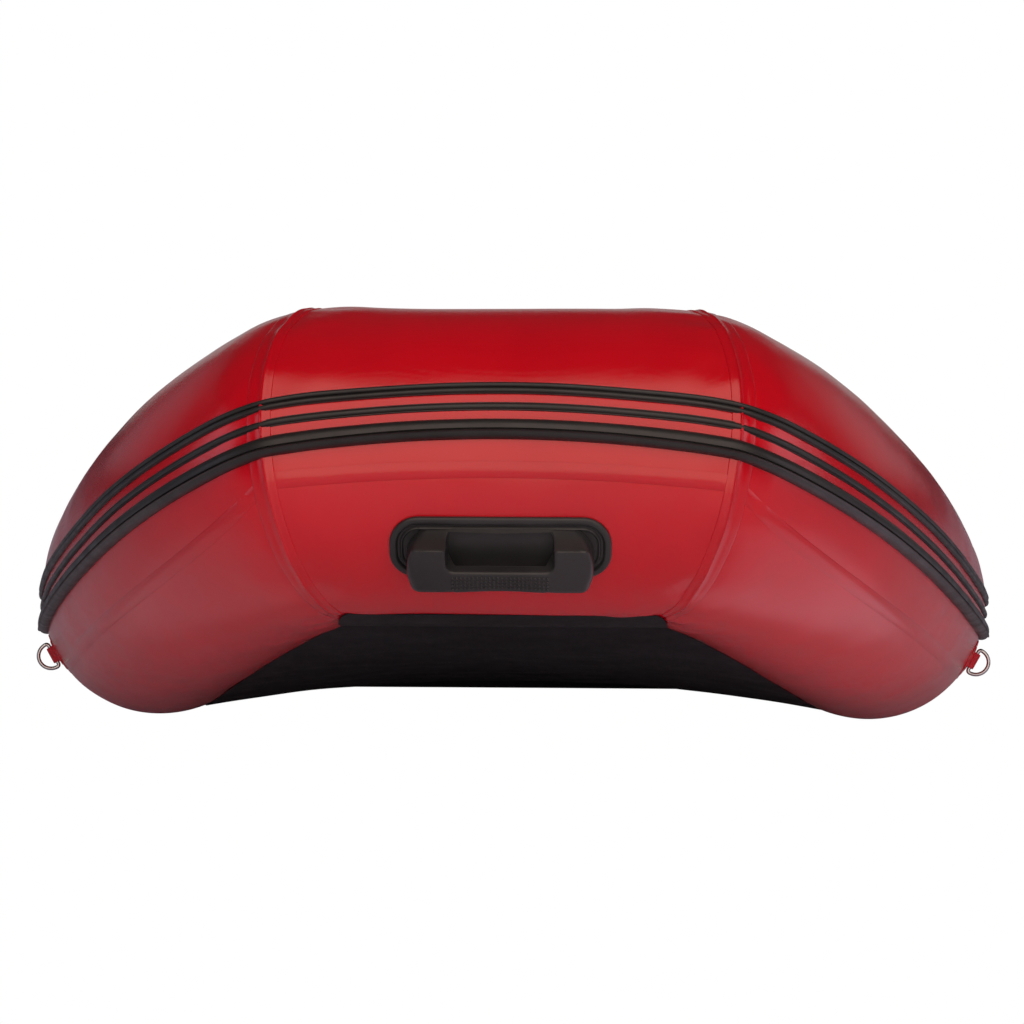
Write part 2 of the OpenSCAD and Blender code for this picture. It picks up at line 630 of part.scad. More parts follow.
// Bores and counterbores that open at the pad's face
module pad_bores(size, face_y) {
    pad_places(size) {
        cyl_y(screw_r + run, 4 * size[2]);
        translate([0, face_y, 0]) cyl_y(screw_head_r + fit, 2 * (screw_head_h + 2 * fit));
    }
}
module pad(size) {
    translate([0, 0, pad_z - size[1] / 2]) rotate([90, 0, 0]) linear_extrude(size[2])
        rounded(size[0], size[1], 12);
}
module outer_motor_pad() {
    color(RUBBER) translate([0, transom_y + transom_t / 2 + fit + outer_pad[2], 0]) difference() {
        pad(outer_pad);
        pad_bores(outer_pad, 0);
    }
}
module inner_motor_pad() {
    color(RUBBER) translate([0, transom_y - transom_t / 2 - fit, 0]) difference() {
        pad(inner_pad);
        pad_bores(inner_pad, -inner_pad[2]);
    }
}
// A screw through a pad of thickness t, with its head sunk in the counterbore
module screw(t, r) {
    rotate([-90, 0, 0]) translate([0, 0, -screw_l]) cylinder(r = r, h = screw_l + t - screw_head_h + 1);
    rotate([-90, 0, 0]) translate([0, 0, t - screw_head_h])
        cylinder(r1 = screw_head_r, r2 = screw_head_r - 2, h = screw_head_h);
}
module pad_screws(r) {
    translate([0, transom_y + transom_t / 2, 0]) pad_places(outer_pad)
        screw(outer_pad[2], r);
    translate([0, transom_y - transom_t / 2, 0]) pad_places(inner_pad)
        rotate([0, 0, 180]) screw(inner_pad[2], r);
}
module motor_pad_screws() { color(STEEL) pad_screws(screw_r); }
// Towing eyes: a plate, a bail and two studs through the board
eye_stud_r = 3;
eye_half = 18;               // half the distance between the studs
eye_plate_t = 3;
nut_r = 5.5;
nut_h = 5;
module eye_studs(e) { for (s = [-1, 1]) translate([e[0] + s * eye_half, 0, e[2]]) children(); }
module tow_eyes() {
    face = transom_y + transom_t / 2 + fit;
    color(STEEL) for (e = eye_pos) {
        translate([e[0], face + eye_plate_t, e[2]]) rotate([90, 0, 0])
            linear_extrude(eye_plate_t) rounded(2 * eye_half + 22, 22, 8);
        translate([e[0], face + eye_plate_t - 0.5, e[2]]) rotate_extrude(angle = 180)
            translate([eye_half, 0]) circle(4);
        eye_studs(e) translate([0, face + 1 - (transom_t + nut_h + 6) / 2, 0])
            cyl_y(eye_stud_r, transom_t + nut_h + 6);
    }
}
module tow_eye_nuts() {
    color(STEEL) for (e = eye_pos) eye_studs(e)
        translate([0, transom_y - transom_t / 2 - fit, 0]) rotate([90, 0, 0]) difference() {
            union() {
                cylinder(r = nut_r + 3, h = 1.5);
                cylinder(r = nut_r, h = nut_h, $fn = 6);
            }
            translate([0, 0, -1]) cylinder(r = eye_stud_r + run, h = nut_h + 2);
        }
}

// ---- Drain ----
drain_neck_r = drain_r + 3;
drain_flange_r = drain_neck_r + 11;
drain_flange_t = 4;
module at_drain() { translate([drain_x, transom_y - transom_t / 2, drain_z]) rotate([90, 0, 0]) children(); }
module drain_body() {
    color(RUBBER) at_drain() difference() {
        union() {
            translate([0, 0, fit]) cylinder(r = drain_flange_r, h = drain_flange_t);
            translate([0, 0, -transom_t - 12]) cylinder(r = drain_neck_r, h = transom_t + 13);
        }
        translate([0, 0, -transom_t - 13]) cylinder(r = drain_r, h = transom_t + 30);
    }
}
module drain_plug() {
    top = fit + drain_flange_t + fit;
    tip = transom_t - 4;     // how far the plug reaches into the bore
    head_h = 5;
    tab = [5, 18, 15];
    color([0.12, 0.12, 0.13]) at_drain() {
        translate([0, 0, -tip]) cylinder(r = drain_r - 2 * run, h = tip + top + 1);
        translate([0, 0, top]) cylinder(r = drain_r + 4, h = head_h);
        translate([-tab[0] / 2, -tab[1] / 2, top]) cube(tab);
    }
}

// ---- Thwart ----
rail_x = side_x - rail_in;
bead_z = side_z + rail_up;
rail_deg = 180 - acos(rail_in / tube_r);
neck_w = 4;                  // thickness of the web under the bead
rail_foot_deg = 12;          // girth of the glued foot, as an angle
rail_foot_t = 2.5;           // thickness of the glued foot
module rail_section(extra) {
    translate([rail_x, bead_z]) circle(bead_r + extra);
    translate([rail_x - neck_w / 2 - extra, bead_z - rail_up]) square([neck_w + 2 * extra, rail_up]);
}
module thwart_rail() {
    color(RUBBER) {
        translate([0, rail_y + rail_len / 2, 0]) rotate([90, 0, 0]) linear_extrude(rail_len)
            difference() {
                rail_section(0);
                translate([side_x, side_z]) circle(tube_r + glue_gap + 1);
            }
        translate([side_x, rail_y, side_z]) rotate([-90, 0, 0]) rotate([0, 0, -rail_deg - rail_foot_deg / 2])
            rotate_extrude(angle = rail_foot_deg) translate([tube_r + glue_gap, -rail_len / 2])
                square([rail_foot_t, rail_len]);
    }
}
clip_low = bead_z - bead_r - 3.5;
clip_top = bead_z + bead_r + 7;
module clip_block() {
    translate([0, rail_y + thwart_l / 2 - 10, 0]) rotate([90, 0, 0]) linear_extrude(thwart_l - 20)
        difference() {
            translate([rail_x - clip_w / 2, clip_low]) square([clip_w, clip_top - clip_low]);
            rail_section(fit);
        }
}
module thwart_clips() {
    color(RUBBER) {
        clip_block();
        other_side() clip_block();
    }
}
module thwart_board() {
    w = 2 * (rail_x + clip_w / 2);
    color([0.62, 0.63, 0.64]) translate([0, rail_y, clip_top + fit])
        linear_extrude(thwart_t) rounded(w, thwart_l, 22);
}

// ---- Oarlocks and oars ----
lock_base_r = 52;
boss_r = 24;
boss_top = 30;
sleeve_r = oar_r + 3;        // collar of the oar that turns in the swivel
eye_r = sleeve_r + 8;
eye_l = 56;
module on_lock() { on_side(lock_y, lock_deg) children(); }
module oarlock_base() {
    color(RUBBER) on_lock() difference() {
        union() {
            translate([0, 0, tube_r - 12]) cylinder(r = lock_base_r, h = 18);
            translate([0, 0, tube_r + 5.9]) cylinder(r1 = lock_base_r - 8, r2 = boss_r, h = boss_top - 5.9);
            translate([0, 0, tube_r + boss_top - 1])
                cylinder(r = lock_pin_r, h = oar_up - sleeve_r - boss_top - 9);
        }
        cyl_y(tube_r + glue_gap, 4 * lock_base_r);
    }
}
module oarlock_swivel() {
    color([0.09, 0.09, 0.1]) on_lock() difference() {
        union() {
            translate([0, 0, tube_r + boss_top + fit])
                cylinder(r = lock_pin_r + 9, h = oar_up - boss_top - fit);
            translate([0, 0, tube_r + oar_up]) cyl_y(eye_r, eye_l);
        }
        translate([0, 0, tube_r + boss_top - 1])
            cylinder(r = lock_pin_r + run, h = oar_up - sleeve_r - boss_top - 6);
        translate([0, 0, tube_r + oar_up]) cyl_y(sleeve_r + run, eye_l + 2);
    }
}
shaft_in = 60;               // how far the shaft runs past the blade's root
shaft_end = oar_out - blade_l + shaft_in;
socket_out = 50;             // how far the socket reaches along the shaft
socket_in = 150;             // how far the socket's rib runs down the blade
shaft_wall = 1.6;
grip_l = 120;
// Local frame of the oar: its axis along Y, with the blade aft
module on_oar() { on_lock() translate([0, 0, tube_r + oar_up]) children(); }
module along_oar(y1, y2, r) { translate([0, (y1 + y2) / 2, 0]) cyl_y(r, y2 - y1); }
module oar_shaft() {
    color(STEEL) on_oar() difference() {
        along_oar(grip_l / 2 - oar_in, shaft_end, oar_r);
        along_oar(grip_l / 2 - oar_in - 1, shaft_end + 1, oar_r - shaft_wall);
    }
}
// Hand grip over the shaft's end, and the flanged collar that turns in the swivel
module oar_grips() {
    stop = eye_l / 2 + fit;
    grip_r = oar_r + 2.5;
    color(RUBBER) on_oar() {
        difference() {
            union() {
                along_oar(-stop - 6, stop + 6, sleeve_r);
                along_oar(-stop - 6, -stop, eye_r - 2);
                along_oar(stop, stop + 6, eye_r - 2);
            }
            along_oar(-stop - 7, stop + 7, oar_r + run);
        }
        difference() {
            union() {
                along_oar(grip_r - oar_in, grip_l - oar_in, grip_r);
                translate([0, grip_r - oar_in, 0]) sphere(grip_r);
            }
            along_oar(grip_l / 2 - oar_in - fit, grip_l - oar_in + 1, oar_r + run);
        }
    }
}
module blade_outline() {
    tip_r = 40;
    translate([0, -blade_l / 2]) rounded(blade_w, blade_l, tip_r);
}
module oar_blade() {
    color([0.09, 0.09, 0.1]) on_oar() translate([0, oar_out, 0]) difference() {
        union() {
            translate([0, 0, -blade_t / 2]) linear_extrude(blade_t) blade_outline();
            along_oar(-blade_l - socket_out, -blade_l + socket_in, oar_r + 3);
            translate([0, -blade_l + socket_in, 0]) sphere(oar_r + 3);
        }
        along_oar(-blade_l - socket_out - 1, -blade_l + shaft_in + fit, oar_r + run);
    }
}

// ---- Carry handles ----
module carry_handle() {
    top = tube_r + 36;
    pad_r = 34;
    foot = carry_l / 2;
    color(RUBBER) on_side(stern_y - carry_inset, carry_deg) {
        intersection() {
            shell_y(tube_r + glue_gap, tube_r + glue_gap + 3, carry_l + 4 * pad_r);
            union() for (side = [-1, 1]) translate([0, side * foot, 0])
                cylinder(r = pad_r, h = 2 * tube_r);
        }
        for (side = [-1, 1]) translate([0, side * foot, tube_r + 2]) {
            cylinder(r = carry_r - 2, h = top - tube_r - 2);
            translate([0, 0, top - tube_r - 2]) sphere(carry_r);
        }
        translate([0, 0, top]) cyl_y(carry_r, carry_l);
    }
}

// ---- Valves ----
// Local +Z points out of the chamber and surface is the height of its skin
valve_hole_clear = 0.4;
body_depth = 30;
flange_t = 3;
stem_r = 3;
seat_z = -26;                // lower face of the valve seat below the skin
web_top = -10;               // upper face of the web that guides the stem
web_t = 3;
valve_wall = 3;
module valve_hole(surface) {
    translate([0, 0, surface - body_depth]) cylinder(r = valve_r + valve_hole_clear, h = body_depth + 12);
}
module valve_body(surface, skin_r) {
    translate([0, 0, surface]) difference() {
        union() {
            difference() {
                translate([0, 0, -4]) cylinder(r = valve_flange_r, h = flange_t + 4);
                translate([0, 0, -surface]) if (skin_r > 0) cyl_y(skin_r + glue_gap, 100);
                else translate([0, 0, -10 + glue_gap]) cube([100, 100, 20], center = true);
            }
            translate([0, 0, -body_depth]) cylinder(r = valve_r, h = body_depth + flange_t);
        }
        translate([0, 0, web_top]) cylinder(r = valve_r - valve_wall, h = 20);
        translate([0, 0, seat_z + 2]) cylinder(r = valve_r - valve_wall, h = web_top - web_t - seat_z - 2);
        translate([0, 0, -body_depth - 1]) cylinder(r = valve_r - 2 * valve_wall, h = 10);
        translate([0, 0, -body_depth - 1])
            cylinder(r = valve_r - valve_wall, h = body_depth + 1 + seat_z);
        translate([0, 0, 2 * web_top]) cylinder(r = stem_r + run, h = 20);
        for (a = [0 : 60 : 300]) rotate([0, 0, a]) translate([valve_r / 2, 0, 2 * web_top])
            cylinder(r = 3, h = 20);
    }
}
module valve_poppet(surface) {
    button_z = web_top + valve_travel + 0.6;
    color([0.85, 0.85, 0.83]) translate([0, 0, surface]) {
        translate([0, 0, seat_z - fit - 3]) cylinder(r = valve_r - 4, h = 3);
        translate([0, 0, seat_z - 2]) cylinder(r = stem_r, h = button_z + 1 - seat_z + 2);
        translate([0, 0, button_z]) cylinder(r = 5, h = 2);
    }
}
module valve_cap(surface) {
    rim_r = valve_r + 5;
    color([0.09, 0.09, 0.1]) translate([0, 0, surface + flange_t + fit]) {
        cylinder(r = rim_r, h = 7);
        translate([0, 0, 6.9]) cylinder(r1 = rim_r, r2 = rim_r - 2.5, h = 2.5);
        translate([-rim_r + 4, -3, 9]) cube([2 * rim_r - 8, 6, 6]);
        difference() {
            translate([0, 0, -5]) cylinder(r = valve_r - valve_wall - fit, h = 6);
            translate([0, 0, -6]) cylinder(r = valve_r - 2 * valve_wall, h = 8);
        }
    }
}
module at_bow_valve() { on_bow(0, valve_deg) children(); }
module at_side_valve() { on_side(stern_y - side_valve_inset, valve_deg) children(); }
// On the bow the tube runs along X, so the valve is turned to match the saddle
module valve_bodies() {
    color([0.09, 0.09, 0.1]) {
        at_bow_valve() rotate([0, 0, 90]) valve_body(tube_r, tube_r);
        at_side_valve() valve_body(tube_r, tube_r);
        other_side() at_side_valve() valve_body(tube_r, tube_r);
        translate(deck_valve) valve_body(0, 0);
    }
}

bow_tube();
bow_curve();  // port_bow_curve
other_side() bow_curve();  // starboard_bow_curve
side_tube();  // port_side_tube
other_side() side_tube();  // starboard_side_tube
stern_cone();  // port_stern_cone
other_side() stern_cone();  // starboard_stern_cone
stern_cap();  // port_stern_cap
other_side() stern_cap();  // starboard_stern_cap
baffle();  // port_baffle
other_side() baffle();  // starboard_baffle
mitre_tapes();
side_tapes();
upper_strake();
middle_strake();
lower_strake();
bottom_sheet();
bow_handle_plate();
bow_handle_grip();
ring_patch();  // port_ring_patch
other_side() ring_patch();  // starboard_ring_patch
tow_ring();  // port_tow_ring
other_side() tow_ring();  // starboard_tow_ring
air_deck();
transom_board();
transom_holder();  // port_transom_holder
other_side() transom_holder();  // starboard_transom_holder
outer_motor_pad();
inner_motor_pad();
motor_pad_screws();
tow_eyes();
tow_eye_nuts();
drain_body();
drain_plug();
thwart_rail();  // port_thwart_rail
other_side() thwart_rail();  // starboard_thwart_rail
thwart_board();
thwart_clips();
oarlock_base();  // port_oarlock_base
other_side() oarlock_base();  // starboard_oarlock_base
oarlock_swivel();  // port_oarlock_swivel
other_side() oarlock_swivel();  // starboard_oarlock_swivel
oar_shaft();  // port_oar_shaft
other_side() oar_shaft();  // starboard_oar_shaft
oar_grips();  // port_oar_grips
other_side() oar_grips();  // starboard_oar_grips
oar_blade();  // port_oar_blade
other_side() oar_blade();  // starboard_oar_blade
carry_handle();  // port_carry_handle
other_side() carry_handle();  // starboard_carry_handle
valve_bodies();
at_bow_valve() valve_poppet(tube_r);  // bow_valve_poppet
at_side_valve() valve_poppet(tube_r);  // port_valve_poppet
other_side() at_side_valve() valve_poppet(tube_r);  // starboard_valve_poppet
translate(deck_valve) valve_poppet(0);  // deck_valve_poppet
at_bow_valve() valve_cap(tube_r);  // bow_valve_cap
at_side_valve() valve_cap(tube_r);  // port_valve_cap
other_side() at_side_valve() valve_cap(tube_r);  // starboard_valve_cap
translate(deck_valve) valve_cap(0);  // deck_valve_cap
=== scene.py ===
# Inflatable dinghy with an air deck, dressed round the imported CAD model. Metres, +Z up, bow along -Y.
import math

import bpy
import bmesh
import numpy as np
from mathutils import Matrix, Vector


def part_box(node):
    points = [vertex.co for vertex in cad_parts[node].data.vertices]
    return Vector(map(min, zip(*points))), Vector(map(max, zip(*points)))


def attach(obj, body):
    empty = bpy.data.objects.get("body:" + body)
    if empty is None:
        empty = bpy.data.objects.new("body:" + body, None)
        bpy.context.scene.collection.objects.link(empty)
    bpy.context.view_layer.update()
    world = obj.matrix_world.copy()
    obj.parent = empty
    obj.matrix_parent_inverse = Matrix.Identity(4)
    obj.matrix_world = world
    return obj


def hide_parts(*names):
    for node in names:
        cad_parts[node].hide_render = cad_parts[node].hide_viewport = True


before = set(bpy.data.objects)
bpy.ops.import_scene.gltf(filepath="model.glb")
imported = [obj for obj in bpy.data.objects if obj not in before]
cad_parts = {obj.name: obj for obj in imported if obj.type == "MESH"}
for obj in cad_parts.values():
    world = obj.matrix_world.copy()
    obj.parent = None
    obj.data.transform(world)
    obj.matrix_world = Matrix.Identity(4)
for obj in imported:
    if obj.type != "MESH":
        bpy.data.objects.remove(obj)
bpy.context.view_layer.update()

# ---- Sizes of the hull, from the frame ----
SEAM_GAP = 0.0002
GLUE_GAP = 0.0003
FABRIC = 0.0012
TAPE_T = 0.0005
OVER_TAPE = 2 * GLUE_GAP + TAPE_T
bow_low, bow_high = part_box("bow_tube")
TUBE_R = (bow_high.z - bow_low.z) / 2
BOW_Y = bow_low.y + TUBE_R
BOW_Z = bow_low.z + TUBE_R
side_low, side_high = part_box("port_side_tube")
SIDE_X = (side_low.x + side_high.x) / 2
SIDE_Z = (side_low.z + side_high.z) / 2
CURVE_END_Y = side_low.y - SEAM_GAP
CONE_Y = side_high.y
STERN_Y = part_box("port_stern_cap")[1].y
transom_low, transom_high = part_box("transom_board")
TRANSOM_Y = (transom_low.y + transom_high.y) / 2
TRANSOM_T = transom_high.y - transom_low.y
# Sizes that the boxes don't give, as in the CAD source
BOW_LEN = 0.412
TURN_DEG = 36.2
DROP_DEG = 16.9
BOW_PULL = 0.235
SIDE_PULL = 0.240
SHEAR_END = 0.3
CONE_TIP_R = 0.064
CAP_T = 0.014
STRAKE_MITRE_DEG = 19.8
STRAKE_CROWN_DEG = 6.7
STRAKE_SIDE_DEG = -5.0
STRAKE_FADE = 0.18
HOLDER_W = 0.066


def unit(v):
    v = np.asarray(v, float)
    return v / np.linalg.norm(v, axis=-1, keepdims=True)


def mix(a, b, f):
    return a * (1 - f) + b * f


def smooth(f):
    g = np.clip(f, 0, 1)
    return g * g * (3 - 2 * g)


def bump(x, width):
    """1 at x = 0, falling off over about width."""
    return np.exp(-np.square(x / width))


def box_middle(node):
    """Middle of a CAD node's box at rest."""
    return [(low + high) / 2 for low, high in zip(*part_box(node))]


# ---- Line of the tubes, as in the CAD source ----
turn, drop = math.radians(TURN_DEG), math.radians(DROP_DEG)
TURN_START = np.array([BOW_LEN / 2, BOW_Y, BOW_Z])
TURN_DIR = np.array([
    math.cos(drop) * math.cos(turn), math.cos(drop) * math.sin(turn), -math.sin(drop)])
TURN_END = np.array([SIDE_X, CURVE_END_Y, SIDE_Z])
CTRL = [TURN_START, TURN_START + TURN_DIR * BOW_PULL,
        TURN_END - np.array([0, SIDE_PULL, 0]), TURN_END]
MITRE_N = unit(np.array([1.0, 0, 0]) + TURN_DIR)


def axis_at(u):
    u = np.asarray(u, float)[..., None]
    w = 1 - u
    return w**3 * CTRL[0] + 3 * w * w * u * CTRL[1] + 3 * w * u * u * CTRL[2] + u**3 * CTRL[3]


def dir_at(u):
    u = np.asarray(u, float)[..., None]
    w = 1 - u
    return unit(w * w * (CTRL[1] - CTRL[0]) + 2 * w * u * (CTRL[2] - CTRL[1])
                + u * u * (CTRL[3] - CTRL[2]))


def girth_dir(t, deg):
    """Direction at angle deg round a tube that runs along t: 0 is outboard and 90 is up."""
    out = unit(np.cross(t, [0, 0, 1.0]))
    up = np.cross(out, t)
    a = np.radians(deg)[..., None]
    return out * np.cos(a) + up * np.sin(a)


def curve_pt(u, deg, rho):
    """Points on the port curved section. u, deg and rho broadcast together."""
    u, deg, rho = np.broadcast_arrays(np.asarray(u, float), np.asarray(deg, float), rho)
    t = dir_at(u)
    d = girth_dir(t, deg)
    slide = -rho * (d @ MITRE_N) / (t @ MITRE_N)
    lean = np.square(np.maximum(0, 1 - u / SHEAR_END))
    return axis_at(u) + rho[..., None] * d + t * (slide * lean)[..., None]


def bow_pt(x, deg, rho):
    x, deg, rho = np.broadcast_arrays(np.asarray(x, float), np.asarray(deg, float), rho)
    a = np.radians(deg)
    return np.stack([x, BOW_Y - rho * np.cos(a), BOW_Z + rho * np.sin(a)], -1)


def side_pt(y, deg, rho):
    y, deg, rho = np.broadcast_arrays(np.asarray(y, float), np.asarray(deg, float), rho)
    a = np.radians(deg)
    return np.stack([SIDE_X + rho * np.cos(a), y, SIDE_Z + rho * np.sin(a)], -1)


def mitre_x(deg, rho):
    """Where the bow tube's skin at angle deg meets the mitre."""
    d = bow_pt(0, deg, 1.0) - np.array([0, BOW_Y, BOW_Z])
    return BOW_LEN / 2 - rho * (d @ MITRE_N) / MITRE_N[0]


def past_mitre(deg):
    """Angle on the curve that meets angle deg of the bow tube at the mitre."""
    a = math.radians(deg)
    d = np.array([0, -math.cos(a), math.sin(a)])
    d = d - 2 * (d @ MITRE_N) * MITRE_N
    out = unit(np.cross(TURN_DIR, [0, 0, 1.0]))
    up = np.cross(out, TURN_DIR)
    return math.degrees(math.atan2(d @ up, d @ out))


def mirrored(points):
    return points * np.array([-1.0, 1, 1])


# ---- Mesh building ----
def grid_faces(rows, cols, wrap_rows):
    """Quads between rows of points, each of which runs right round."""
    a, b = np.meshgrid(np.arange(rows if wrap_rows else rows - 1), np.arange(cols), indexing="ij")
    a2, b2 = (a + 1) % rows, (b + 1) % cols
    quads = np.stack([a * cols + b, a * cols + b2, a2 * cols + b2, a2 * cols + b], -1)
    return quads.reshape(-1, 4).tolist()


def linked(name, data):
    """A new object in the scene."""
    obj = bpy.data.objects.new(name, data)
    bpy.context.scene.collection.objects.link(obj)
    return obj


def new_object(name, verts, faces, smooth_angle=None):
    mesh = bpy.data.meshes.new(name)
    mesh.from_pydata(np.asarray(verts, float).reshape(-1, 3).tolist(), [], faces)
    return tidy_mesh(linked(name, mesh), smooth_angle)


def tidy_mesh(obj, smooth_angle=None):
    """Merges doubles, turns the normals outwards and shades smooth below smooth_angle."""
    bm = bmesh.new()
    bm.from_mesh(obj.data)
    bmesh.ops.remove_doubles(bm, verts=bm.verts, dist=1e-6)
    bmesh.ops.recalc_face_normals(bm, faces=bm.faces)
    limit = math.radians(180 if smooth_angle is None else smooth_angle)
    for edge in bm.edges:
        edge.smooth = not (edge.is_manifold and edge.calc_face_angle(0) > limit)
    for face in bm.faces:
        face.smooth = True
    bm.to_mesh(obj.data)
    bm.free()
    return obj


def swept(name, rings, wrap_rows=False, smooth_angle=40):
    """A closed solid through rings of points, with capped ends or running back into the first ring."""
    rings = np.asarray(rings)
    rows, cols = rings.shape[:2]
    faces = grid_faces(rows, cols, wrap_rows)
    if not wrap_rows:
        faces.append(list(range(cols))[::-1])
        faces.append([(rows - 1) * cols + j for j in range(cols)])
    return new_object(name, rings, faces, smooth_angle)


def joined(name, parts):
    """One object from several, which it uses up."""
    bm = bmesh.new()
    for part in parts:
        part.data.transform(part.matrix_world)
        bm.from_mesh(part.data)
        bpy.data.objects.remove(part)
    mesh = bpy.data.meshes.new(name)
    bm.to_mesh(mesh)
    bm.free()
    return linked(name, mesh)


def moved(obj, matrix):
    obj.data.transform(matrix)
    if matrix.determinant() < 0:
        obj.data.flip_normals()
    return obj


def shifted(obj, x, y, z):
    return moved(obj, Matrix.Translation((x, y, z)))


def turned(degrees, axis):
    return Matrix.Rotation(math.radians(degrees), 4, axis)


Z_TO_Y = turned(-90, "X")
TO_STARBOARD = Matrix.Diagonal((-1, 1, 1, 1))


def reshaped(obj, shape, smooth_angle):
    """Moves every vertex to where shape(coordinates) puts it."""
    co = np.array([v.co for v in obj.data.vertices])
    obj.data.vertices.foreach_set("co", shape(co).ravel())
    obj.data.update()
    return tidy_mesh(obj, smooth_angle)


def mirror_copy(obj, name):
    """The starboard twin of a port piece."""
    return moved(linked(name, obj.data.copy()), TO_STARBOARD)


def apply_modifiers(obj):
    graph = bpy.context.evaluated_depsgraph_get()
    mesh = bpy.data.meshes.new_from_object(obj.evaluated_get(graph))
    obj.modifiers.clear()
    obj.data = mesh
    return obj


def cut(obj, tools):
    """Takes closed tools out of obj and uses the tools up."""
    for tool in tools:
        bpy.context.view_layer.update()
        modifier = obj.modifiers.new("cut", "BOOLEAN")
        modifier.operation = "DIFFERENCE"
        modifier.solver = "EXACT"
        modifier.object = tool
        apply_modifiers(obj)
        bpy.data.objects.remove(tool)
    return obj


def melted(obj, voxel, passes, factor):
    """One smooth skin round all the solids in obj, as a moulding has."""
    bpy.context.view_layer.update()
    remesh = obj.modifiers.new("remesh", "REMESH")
    remesh.mode = "VOXEL"
    remesh.voxel_size = voxel
    relax = obj.modifiers.new("relax", "SMOOTH")
    relax.factor = factor
    relax.iterations = passes
    return tidy_mesh(apply_modifiers(obj))


def bevelled(obj, width, segments, angle):
    modifier = obj.modifiers.new("bevel", "BEVEL")
    modifier.width = width
    modifier.segments = segments
    modifier.limit_method = "ANGLE"
    modifier.angle_limit = math.radians(angle)
    return tidy_mesh(apply_modifiers(obj), 50)


def lathe(name, profile, steps=64, smooth_angle=35, radius_at=None, hollow=False):
    """A body turned about Z from (radius, height) pairs, which run right round if it is hollow.

    radius_at(angles, r, z) may vary the radius.
    """
    angles = np.linspace(0, 2 * np.pi, steps, endpoint=False)
    rings = []
    for r, z in profile:
        rr = r if radius_at is None else radius_at(angles, r, z)
        rings.append(np.stack([rr * np.cos(angles), rr * np.sin(angles), np.full(steps, z)], -1))
    return swept(name, rings, wrap_rows=hollow, smooth_angle=smooth_angle)


def sections(name, radii, steps=48):
    """A body turned about Y from (y, radius) pairs."""
    return moved(lathe(name, [(r, y) for y, r in radii], steps), Z_TO_Y)


def pipe(name, points, radius, sides, closed=False):
    """A round bar along points; radius is a number or one per point."""
    points = np.asarray(points, float)
    n = len(points)
    radius = np.broadcast_to(radius, (n,))
    if closed:
        tangent = unit(np.roll(points, -1, 0) - np.roll(points, 1, 0))
    else:
        tangent = unit(np.gradient(points, axis=0))
    normal = np.cross(tangent[0], [0.0, 0, 1] if abs(tangent[0][2]) < 0.9 else [1.0, 0, 0])
    a = np.linspace(0, 2 * np.pi, sides, endpoint=False)
    rings = []
    for p, t, r in zip(points, tangent, radius):
        normal = unit(normal - t * (normal @ t))
        side = np.cross(t, normal)
        rings.append(p + r * (np.cos(a)[:, None] * normal + np.sin(a)[:, None] * side))
    return swept(name, rings, wrap_rows=closed, smooth_angle=60)


def rounded_outline(width, height, radius, arc=8):
    """Points round a rectangle with round corners, centred on the origin."""
    points = []
    for k, (sx, sy) in enumerate([(1, 1), (-1, 1), (-1, -1), (1, -1)]):
        for a in np.radians(np.linspace(0, 90, arc) + 90 * k):
            points.append((sx * (width / 2 - radius) + radius * math.cos(a),
                           sy * (height / 2 - radius) + radius * math.sin(a)))
    return np.array(points)


FILLET_FROM_DEG = 15


def filleted(points, radius, steps=6):
    """An outline whose corners of FILLET_FROM_DEG and more are rounded."""
    points = np.asarray(points, float)
    out = []
    n = len(points)
    for k in range(n):
        p, q, r = points[k - 1], points[k], points[(k + 1) % n]
        a, b = unit(q - p), unit(r - q)
        turn_angle = math.acos(max(-1, min(1, float(a @ b))))
        if math.degrees(turn_angle) < FILLET_FROM_DEG:
            out.append(q)
            continue
        reach = min(radius * math.tan(turn_angle / 2),
                    0.45 * np.linalg.norm(q - p), 0.45 * np.linalg.norm(r - q))
        start, end = q - a * reach, q + b * reach
        for f in np.linspace(0, 1, steps):
            out.append((1 - f) ** 2 * start + 2 * f * (1 - f) * q + f * f * end)
    return np.array(out)


def left_of(ahead):
    return np.stack([-ahead[:, 1], ahead[:, 0]], -1)


def slab(name, outline, z0, z1, edge, steps=4):
    """An outline drawn up from z0 to z1 with edges rounded to radius edge."""
    outline = np.asarray(outline, float)
    ahead = unit(np.roll(outline, -1, 0) - outline)
    behind = unit(outline - np.roll(outline, 1, 0))
    inward = unit(left_of(ahead + behind))
    inward = inward / np.maximum(0.4, (inward * left_of(ahead)).sum(-1))[:, None]
    rings = []
    for k in range(2 * steps + 2):
        low = k <= steps
        a = math.pi / 2 * (k / steps if low else (k - steps - 1) / steps)
        inset = edge * (1 - math.sin(a)) if low else edge * (1 - math.cos(a))
        z = z0 + edge * (1 - math.cos(a)) if low else z1 - edge * (1 - math.sin(a))
        flat = outline + inward * inset
        rings.append(np.column_stack([flat, np.full(len(flat), z)]))
    return swept(name, rings, smooth_angle=40)


def basis(origin, x, y, z):
    m = Matrix.Identity(4)
    for k, axis in enumerate((x, y, z)):
        for i in range(3):
            m[i][k] = float(axis[i])
    for i in range(3):
        m[i][3] = float(origin[i])
    return m


def on_side(y, deg):
    """Local +Z is the outward normal of the port side tube at angle deg, from its axis."""
    return Matrix.Translation((SIDE_X, y, SIDE_Z)) @ turned(90 - deg, "Y")


def on_bow(x, deg):
    """Local +Z is the outward normal of the bow tube at angle deg, from its axis."""
    return Matrix.Translation((x, BOW_Y, BOW_Z)) @ turned(90 - deg, "X")


